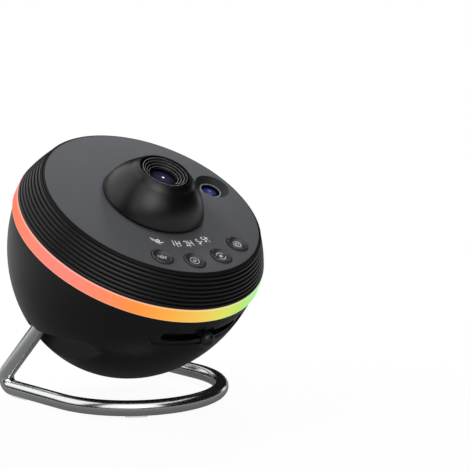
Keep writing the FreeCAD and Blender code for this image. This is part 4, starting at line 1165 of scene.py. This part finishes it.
@dataclass
class Deck:
    """Flat top with its keys' holes, the dish of the meteor lens and the printed labels."""

    crease: float = 24.0
    label_radius: float = 34.6
    label_span: Point = (DECK_TOP - 0.05, DECK_TOP + 0.05)
    letter: float = 6.0
    squeeze: float = 0.72
    grey: Finish = DeckPlastic("deck_grey", ink(93, 94, 97), 0.52, grain=4200.0, relief=0.020,
                               specular=0.3, mottle=0.06)
    # Labels glow a little as painted light.
    white: Finish = PrintedInk("label_white", ink(240, 241, 243), glow=0.25)
    labels: tuple[tuple[str, float, str], ...] = (
        ("label_1h", -17.0, "1H"), ("label_2h", -4.4, "2H"), ("label_slower", 7.5, "S-"),
        ("label_faster", 15.7, "S+"))
    planet_turn: float = -33.5
    planet: tuple[Stroke, ...] = (
        Arc(0.5, 1.15), Arc(1.6, 2.1, 200.0, 330.0), Bar((-4.2, 0.6), (-1.6, 0.1), 0.5),
        Bar((-3.4, -0.6), (-2.0, -0.6), 0.45), Bar((1.6, -1.1), (2.9, -0.2), 0.5))

    def build(self) -> None:
        """Copy the deck's CAD mesh, welded and smooth-shaded, model its labels, and dress them all.
        """
        dress(Bench.refined("deck_top", "deck_plate", self.crease), Body.HEAD, self.grey,
              "deck_plastic", "deck_plate")
        for name, degrees, text in self.labels:
            self._print(Bench.lettering(name, text, self.letter, self.squeeze, self.label_span),
                        degrees)
        self._print(Bench.mark("label_planet", self.planet, self.label_span), self.planet_turn)

    def _print(self, label: bpy.types.Object, degrees: float) -> None:
        """Turn a label to its place round the deck and dress it."""
        place = HEAD @ turned(degrees) @ moved(self.label_radius) @ turned(90.0)
        dress(label, Body.HEAD, self.white, "deck_plastic", place=place)


@dataclass(frozen=True)
class Key:
    """One key: its body, its angle round the head in degrees and its symbol's strokes."""

    body: Body
    degrees: float
    strokes: tuple[Stroke, ...]


@dataclass
class Keys:
    """Four round keys with their printed symbols."""

    pitch: float = 48.0
    radius: float = 5.6
    side: float = 24.2
    edge: float = 0.5
    crown: float = 1.0
    flange: float = 6.9
    flange_low: float = 21.4
    flange_high: float = 22.2
    stem: float = 2.4
    tip: float = 1.7
    tip_low: float = 15.4
    tip_long: float = 2.2
    room: float = 54.95
    sunk: float = 0.2
    proud: float = 0.28
    black: Finish = MouldedPlastic("key_black", ink(58, 58, 61), 0.32, grain=5200.0,
                                   relief=0.006, specular=0.9, mottle=0.06)
    # Symbols glow faintly as painted light.
    white: Finish = PrintedInk("symbol_white", ink(205, 206, 208), glow=0.05)
    keys: tuple[Key, ...] = (
        Key(Body.METEOR_KEY, -32.0, (
            Arc(0.65, 1.25), Arc(0.75, 1.35, -60.0, 240.0, 2.7),
            Bar((-4.0, 1.0), (-1.3, 0.3), 0.6), Bar((-3.3, -0.6), (-1.4, -0.6), 0.55),
            Bar((-4.0, 1.0), (-3.8, -0.3), 0.55))),
        Key(Body.LAMP_KEY, -10.7, (Arc(2.15, 2.55), Arc(0.5, 0.85))),
        Key(Body.ROTATION_KEY, 10.7, (
            Arc(2.2, 2.75, 30.0, 150.0), Arc(2.2, 2.75, 210.0, 330.0),
            Bar((2.9, 1.6), (1.8, 0.9), 0.5), Bar((-2.9, -1.6), (-1.8, -0.9), 0.5),
            Arc(0.05, 1.0))),
        Key(Body.POWER_KEY, 32.0, (
            Arc(1.9, 2.5, 125.0, 415.0), Bar((0.0, 0.3), (0.0, 2.7), 0.5), Arc(0.85, 1.2))))

    def build(self) -> None:
        """Model and dress the keys."""
        dish = self.side + self.edge - self.crown
        for key in self.keys:
            node = key.body.value
            kind = node.removeprefix("button_")
            place = HEAD @ turned(key.degrees) @ moved(self.pitch)
            dress(self.cap("key_" + kind), key.body, self.black, "button_plastic", node,
                  place=place)
            mark = Bench.mark("symbol_" + kind, key.strokes, (dish - self.sunk, dish + self.proud))
            dress(mark, key.body, self.white, "button_plastic", place=place @ turned(90.0))

    def cap(self, name: str) -> bpy.types.Object:
        """Dished cap with its flange and stem.

        Args:
            name: Name of the piece.

        Returns:
            The cap, about the Z axis.
        """
        top, rim = self.side + self.edge, self.radius - self.edge
        tip_high = self.tip_low + self.tip_long
        points = [(0.0, self.tip_low), (self.tip, self.tip_low), (self.tip, tip_high),
                  (self.stem, tip_high), (self.stem, self.flange_low),
                  (self.flange, self.flange_low), (self.flange, self.flange_high),
                  (self.radius, self.flange_high)]
        points += arc_points((self.radius, self.side), (self.radius - 0.15, self.side + 0.35),
                             (rim, top), 6)
        points += arc_points((rim, top), (rim - 0.3, top - 0.02), (rim - 0.6, top - 0.12), 4)
        points += [(r, top - self.crown - h)
                   for r, h in cap_points(rim - 0.6, rim, self.crown, 8)]
        made = Bench.lathe(name, points, steps=72)
        Bench.edit(made)
        bpy.ops.mesh.bisect(plane_co=((self.room - self.pitch) * MM, 0, 0), plane_no=(1, 0, 0),
                            use_fill=True, clear_outer=True)
        return Bench.close(made)


@dataclass
class Dome:
    """Satin cowl that is turned to focus."""

    radius: float = 27.2
    low: float = 24.3
    foot_round: float = 1.1
    foot_cut: float = 0.293
    waist: Point = (23.4, 33.2)
    shoulder: Point = (16.6, 40.6)
    lip: Point = (14.9, 42.4)
    crest: Point = (13.5, 43.5)
    mouth: float = 13.1
    wall: float = 2.2
    hub_in: float = 14.16
    hub_out: float = 16.16
    hub_low: float = 25.8
    guide_top: float = 39.4
    black: Finish = MouldedPlastic("dome_black", ink(10, 10, 11), 0.32, grain=4600.0,
                                   relief=0.008, specular=0.55, mottle=0.10)

    def build(self) -> None:
        """Model and dress the dome."""
        foot = (self.radius, self.low + self.foot_round)
        foot_in = (self.radius - self.foot_round, self.low)
        cut = self.foot_cut * self.foot_round
        high = self.crest[1]
        inside = (self.radius - self.wall, self.low)
        waist_in = (self.waist[0] - self.wall * 0.8, self.waist[1] - self.wall * 0.6)
        points = arc_points(foot_in, (self.radius - cut, self.low + cut), foot, 6)
        points += arc_points(foot, self.waist, self.shoulder, 26)
        points += arc_points(self.shoulder, self.lip, self.crest, 12)
        points += arc_points(self.crest, (self.mouth + 0.1, high - 0.08),
                             (self.mouth, high - 0.3), 4)
        points += [(self.mouth, high - 0.3), (self.mouth, self.guide_top),
                   (self.hub_in, self.guide_top), (self.hub_in, self.hub_low),
                   (self.hub_out, self.hub_low)]
        points += arc_points((self.hub_out, self.shoulder[1] - 2 * self.wall), waist_in, inside,
                             10)
        points.append(inside)
        dress(Bench.lathe("dome_cowl", points, steps=192), Body.DOME, self.black, "dome_plastic",
              "focus_dome", place=HEAD)


@dataclass
class Optics:
    """Barrel with its rim and baffles, the front lens and the meteor lens."""

    rim: float = 12.1
    rim_top: float = 43.1
    rim_height: float = 2.0
    mouth: float = 11.3
    baffles: int = 7
    baffle_in: float = 6.6
    baffle_low: float = 39.8
    barrel: float = 11.6
    bore: float = 9.6
    low: float = 3.0
    lip: float = 0.8
    lens: float = 9.5
    lens_low: float = 36.0
    lens_edge: float = 2.0
    lens_crown: float = 1.4
    meteor: Point = (-5.3, 45.7)
    meteor_edge: float = 1.4
    meteor_gap: float = 0.05
    bezel: float = 6.0
    bezel_wall: float = 0.75
    bezel_low: float = 18.0
    bezel_high: float = 21.4
    # Black barrel with pale painted highlight lines on its ring edges.
    gloss: Finish = RingedGlossPaintedGlints("barrel_gloss", ink(6, 6, 7), ink(168, 168, 172), outer=11.75,
                                pitch=1.3428)

    def build(self) -> None:
        """Model and dress the barrel, the lenses and the bezel."""
        dress(self.barrel_piece(), Body.BARREL, self.gloss, "barrel_black", "lens_barrel",
              place=HEAD)
        # Front lens: painted purple highlight at the centre, painted shade at the rim.
        glass = GlassPaintedHighlightAndShade("front_glass", ink(64, 58, 88), ink(16, 15, 24), (0.0, 0.0), self.lens)
        lens = self.lens_piece("front_glass_lens", self.lens, self.lens_low, self.lens_edge)
        dress(lens, Body.BARREL, glass, "optical_glass", "front_lens", place=HEAD)
        self.meteor_window()

    def barrel_piece(self) -> bpy.types.Object:
        """Barrel with rounded front rim and stepped baffles.

        Returns:
            The barrel, about the Z axis.
        """
        top, rim_low = self.rim_top, self.rim_top - self.rim_height
        points = [(self.bore, self.low), (self.barrel, self.low), (self.barrel, rim_low),
                  (self.rim, rim_low)]
        points += arc_points((self.rim, top - 0.35), (self.rim - 0.12, top - 0.1),
                             (self.rim - 0.4, top), 5)
        points += arc_points((self.rim - 0.4, top), ((self.rim + self.mouth) / 2 - 0.2, top + 0.02),
                             (self.mouth, top - 0.12), 4)
        step_r = (self.mouth - self.baffle_in) / self.baffles
        step_h = (top - self.baffle_low) / (self.baffles + 1)
        for k in range(self.baffles):
            r, h = self.mouth - step_r * k, top - step_h * (k + 1)
            points += [(r, h + 0.1), (r - 0.08, h), (r - step_r + 0.12, h - 0.04),
                       (r - step_r, h - 0.12)]
        points += [(self.baffle_in, self.baffle_low - self.lip),
                   (self.bore, self.baffle_low - self.lip)]
        return Bench.lathe("barrel_rim", points, steps=128, smooth=30.0)

    def lens_piece(self, name: str, radius: float, low: float, edge: float) -> bpy.types.Object:
        """Lens with a flat back.

        Args:
            name: Name of the piece.
            radius: Radius.
            low: Height of its back.
            edge: Thickness at its edge.

        Returns:
            The lens, about the Z axis.
        """
        crown = low + edge + self.lens_crown
        points = [(0.0, low), (radius, low)]
        points += [(r, crown + h) for r, h in cap_points(radius, radius, self.lens_crown, 12)]
        return Bench.lathe(name, points, steps=96)

    def meteor_window(self) -> None:
        """Model and dress the bezel and lens of the meteor light."""
        outer, inner, high = self.bezel, self.bezel - self.bezel_wall, self.bezel_high
        points = [(inner, self.bezel_low), (outer, self.bezel_low)]
        points += arc_points((outer, high - 0.3), (outer - 0.1, high - 0.08), (outer - 0.3, high),
                             4)
        points += [(outer - 0.3, high), (inner + 0.1, high), (inner, high - 0.1)]
        place = HEAD @ moved(*self.meteor)
        # Pale bezel, its inside wall painted dark as shade.
        dress(Bench.lathe("meteor_ring", points, steps=72), Body.HEAD,
              RingWithPaintedInnerShade("ring_grey", ink(166, 166, 170), ink(12, 12, 20), high), "bezel_grey",
              "meteor_bezel", place=place)
        lens = self.lens_piece("meteor_glass_lens", inner - self.meteor_gap, self.bezel_low,
                               self.meteor_edge)
        # Meteor lens: painted blue highlight at the centre, painted shade at the rim.
        glass = GlassPaintedHighlightAndShade("meteor_glass", ink(66, 78, 156), ink(16, 20, 60), self.meteor, inner)
        dress(lens, Body.HEAD, glass, "meteor_glass", "meteor_lens", place=place)


@dataclass
class Inside:
    """Everything behind the covers, and the drawer with its disc."""

    crease: float = 40.0
    knob: Finish = MouldedPlastic("knob_black", ink(26, 26, 28), 0.36, grain=5200.0,
                                  relief=0.006, specular=0.5)
    plain: tuple[tuple[Finish, tuple[str, ...]], ...] = (
        (MouldedPlastic("inner_black", ink(46, 46, 48), 0.55, grain=3000.0),
         ("mid_frame", "lens_guide", "lamp_housing", "meteor_housing", "meteor_mask",
          "lens_spacer", "lens_retainer", "tact_switches")),
        (MouldedPlastic("drawer_black", ink(10, 10, 11), 0.5, grain=4000.0, relief=0.02,
                        specular=0.3), ("disc_drawer",)),
        (MouldedPlastic("gear_nylon", ink(222, 218, 206), 0.5, grain=3000.0, relief=0.01),
         ("disc_carrier", "drive_pinion", "dome_clip", *both("friction_washers"))),
        (BareMetal("screw_zinc", (0.28, 0.28, 0.30)),
         ("case_screws", "guide_screws", "pillar_screws", "lamp_screws", "key_screws",
          "bracket_screws", *both("pivot_bolt", "pivot_nut"))),
        (BareMetal("pressed_steel", (0.55, 0.56, 0.58)),
         ("disc_motor", "power_inlet", *both("hinge_bracket", "pivot_bush"))),
        (BareMetal("sink_alloy", (0.78, 0.79, 0.81), 0.4), ("heat_sink",)),
        (MouldedPlastic("board_green", ink(20, 88, 52), 0.35, grain=900.0, relief=0.02),
         ("band_led_strip", "key_board", "power_board", "lamp_board", "meteor_lamp_board")),
        (ClearPlastic("clear_guide", ink(214, 222, 232)),
         ("indicator_pipe", "rear_lens", "condenser_lens")),
        (ClearPlastic("star_film", ink(36, 44, 96), 0.8), ("film_disc",)))

    def build(self) -> None:
        """Dress the knob, and the CAD nodes that keep their shapes."""
        dress(Bench.refined("knob_round", "drawer_knob", self.crease), Body.DRAWER, self.knob,
              "drawer_plastic", "drawer_knob")
        for finish, nodes in self.plain:
            repaint(finish, *nodes)


# ---- Studio ----
@dataclass(frozen=True)
class Lamp:
    """Soft round lamp that faces the head."""

    name: str
    azimuth: float
    height: float
    distance: float
    width: float
    power: float
    mirrored: bool = False

    def hang(self) -> None:
        """Hang the lamp by its direction from the head."""
        turn, rise = math.radians(self.azimuth), math.radians(self.height)
        away = Vector((math.cos(turn) * math.cos(rise), math.sin(turn) * math.cos(rise),
                       math.sin(rise)))
        Bench.clear()
        bpy.ops.object.light_add(type="AREA", location=HEAD_CENTRE + away * self.distance,
                                 rotation=(-away).to_track_quat("-Z", "Y").to_euler())
        made = bpy.context.object
        made.name = self.name
        made.data.shape = "DISK"
        made.data.size = self.width
        made.data.energy = self.power
        made.visible_glossy = self.mirrored


@dataclass(frozen=True)
class Opening:
    """Opening in the black cloth, in degrees about the head: gloss sees the pale room in it."""

    azimuth: float
    height: float
    wide: float
    tall: float
    share: float = 1.0
    soft: float = 14.0

    def bare(self, turn: Term, rise: Term, seam: float) -> Term:
        """Share of the cloth that is missing.

        Args:
            turn: Angle round the head, from the side across from the seam.
            rise: Angle above the head.
            seam: Where the cloth's seam is, in degrees.

        Returns:
            The share.
        """
        bare: Any = self.share
        for angle, middle, size in (
                (turn, (self.azimuth - seam) % 360.0 - 180.0, self.wide),
                (rise, self.height, self.tall)):
            outside, inside = size + self.soft / 2, size - self.soft / 2
            beside = (angle - math.radians(middle)).size()
            bare = beside.blend(math.radians(outside), math.radians(inside)) * bare
        return bare


@dataclass
class Studio:
    """Pale floor and room, black cloth round it for the gloss, soft lamps and the camera."""

    camera: tuple[float, float, float] = (0.8384, -0.7334, 0.2800)
    forward: tuple[float, float, float] = (-0.7103, 0.6823, -0.1729)
    lens: float = 168.5
    sensor: float = 36.0
    daylight: float = 0.30
    floor_size: float = 8.0
    # Glow of the floor in gloss near the head, and its steps with distance: a painted shadow.
    floor_shade: float = 0.09
    floor_steps: tuple[tuple[float, float, float], ...] = (
        (0.03, 0.07, 0.09), (0.07, 0.18, 0.14), (0.14, 0.40, 0.25))
    paper_near: float = 0.955
    paper_fade: Point = (0.16, 0.45)
    room: float = 3.0
    seam: float = 130.0
    lamps: tuple[Lamp, ...] = (
        Lamp("left_lamp", -140.0, 50.0, 0.5, 0.3, 1.5),
        Lamp("key_lamp", 125.0, 40.0, 0.6, 0.16, 2.9),
        Lamp("front_lamp", -36.0, 32.0, 1.3, 0.7, 2.0, True),
        Lamp("spark", 109.0, 46.0, 1.2, 0.05, 0.12, True))
    openings: tuple[Opening, ...] = (
        Opening(-152.0, 43.0, 50.0, 25.0, 1.0, 12.0), Opening(-42.0, 44.0, 38.0, 30.0),
        Opening(38.0, 66.0, 48.0, 14.0), Opening(0.0, 90.0, 400.0, 16.0),
        Opening(98.0, 2.0, 7.0, 7.0, 0.8, 8.0), Opening(-46.0, 4.0, 16.0, 10.0, 0.2))

    def build(self) -> None:
        """Set up floor, world, cloth, lamps and camera."""
        self.floor()
        self.sky()
        self.cloth()
        for lamp in self.lamps:
            lamp.hang()
        self.eye()

    @staticmethod
    def rays(net: Net) -> tuple[Term, Term]:
        """Tell the rays that see the background.

        Args:
            net: The material's net.

        Returns:
            1 for the eye's rays, and 1 for those of gloss and glass.
        """
        ray = net.node("ShaderNodeLightPath")
        eye, gloss, clear = (Term(net, ray.outputs[f"Is {kind} Ray"]) for kind in
                             ("Camera", "Glossy", "Transmission"))
        return eye, (gloss + clear).above(0.5)

    def floor(self) -> None:
        """White floor that keeps the soft shadow; gloss sees it with a painted shadow, darker near
        the head.
        """
        Bench.clear()
        bpy.ops.mesh.primitive_plane_add(size=self.floor_size, location=(0, 0, 0))
        floor = Bench.named("studio_floor")
        net = Net("floor_white")
        paper = net.mix(net.noise(40.0) * 0.2, toned(WHITE, 0.86), toned(WHITE, 0.82))
        diffuse = net.node("ShaderNodeBsdfDiffuse", {"Color": paper})
        east, north, _up = net.split(net.point)
        away = east.far(north)
        eye, mirror = self.rays(net)
        # Painted shadow for gloss: the floor's glow is darker near the head and rises with
        # distance.
        shade: Any = self.floor_shade
        for start, end, step in self.floor_steps:
            shade = away.blend(start, end) * step + shade
        glow = net.node("ShaderNodeEmission",
                        {"Color": WHITE, "Strength": eye + mirror * shade})
        even = away.blend(*self.paper_fade) * (1.0 - self.paper_near) + self.paper_near
        floor.data.materials.append(net.show(net.blended(eye * even + mirror, diffuse, glow)))

    def sky(self) -> None:
        """Even world: white to the eye and to gloss, softer as light."""
        net = Net("studio_world", sky=True)
        eye, mirror = self.rays(net)
        level = (eye + mirror) * (1.0 - self.daylight) + self.daylight
        back = net.node("ShaderNodeBackground", {"Color": WHITE, "Strength": level})
        bpy.context.scene.world = net.show(back)

    def cloth(self) -> None:
        """Black cloth round the room with soft openings, which only gloss can see."""
        Bench.clear()
        bpy.ops.mesh.primitive_uv_sphere_add(segments=48, ring_count=24, radius=self.room,
                                             location=HEAD_CENTRE)
        cloth = Bench.named("studio_cloth")
        Bench.edit(cloth)
        bpy.ops.mesh.flip_normals()
        bpy.ops.object.mode_set(mode="OBJECT")
        net = Net("black_cloth")
        weave = net.mix(net.noise(60.0, 2.0), toned(WHITE, 0.02), toned(WHITE, 0.04))
        black = net.node("ShaderNodeBsdfDiffuse", {"Color": weave})
        hole = net.node("ShaderNodeBsdfTransparent", {"Color": WHITE})
        east, north, up = net.axes((0, 0, 0), (0, 0, math.radians(self.seam - 180.0)))
        turn, rise = north.angle_to(east), up.angle_to(east.far(north))
        bare: Any = 0.0
        for opening in self.openings:
            bare = opening.bare(turn, rise, self.seam) + bare
        cloth.data.materials.append(net.show(net.blended(bare.blend(0.0, 1.0), black, hole)))
        for kind in ("camera", "diffuse", "shadow", "transmission"):
            setattr(cloth, "visible_" + kind, False)

    def eye(self) -> None:
        """Add the camera."""
        Bench.clear()
        turn = Vector(self.forward).to_track_quat("-Z", "Y").to_euler()
        bpy.ops.object.camera_add(location=self.camera, rotation=turn)
        eye = bpy.context.object
        eye.name = "studio_camera"
        eye.data.sensor_width = self.sensor
        eye.data.lens = self.lens
        eye.data.clip_end = 30.0
        bpy.context.scene.camera = eye
        bpy.context.scene.view_settings.view_transform = "Standard"


def main() -> None:
    """Build the sub-assemblies in order and note the sizes."""
    logging.basicConfig(level=logging.INFO, format="%(message)s")
    Studio().build()
    for assembly in (Stand(), LowerShell(), ColourBand(), Collar(), Deck(), Keys(), Dome(),
                     Optics(), Inside()):
        log.info("building %s", type(assembly).__name__)
        assembly.build()


if __name__ == "__main__":
    main()
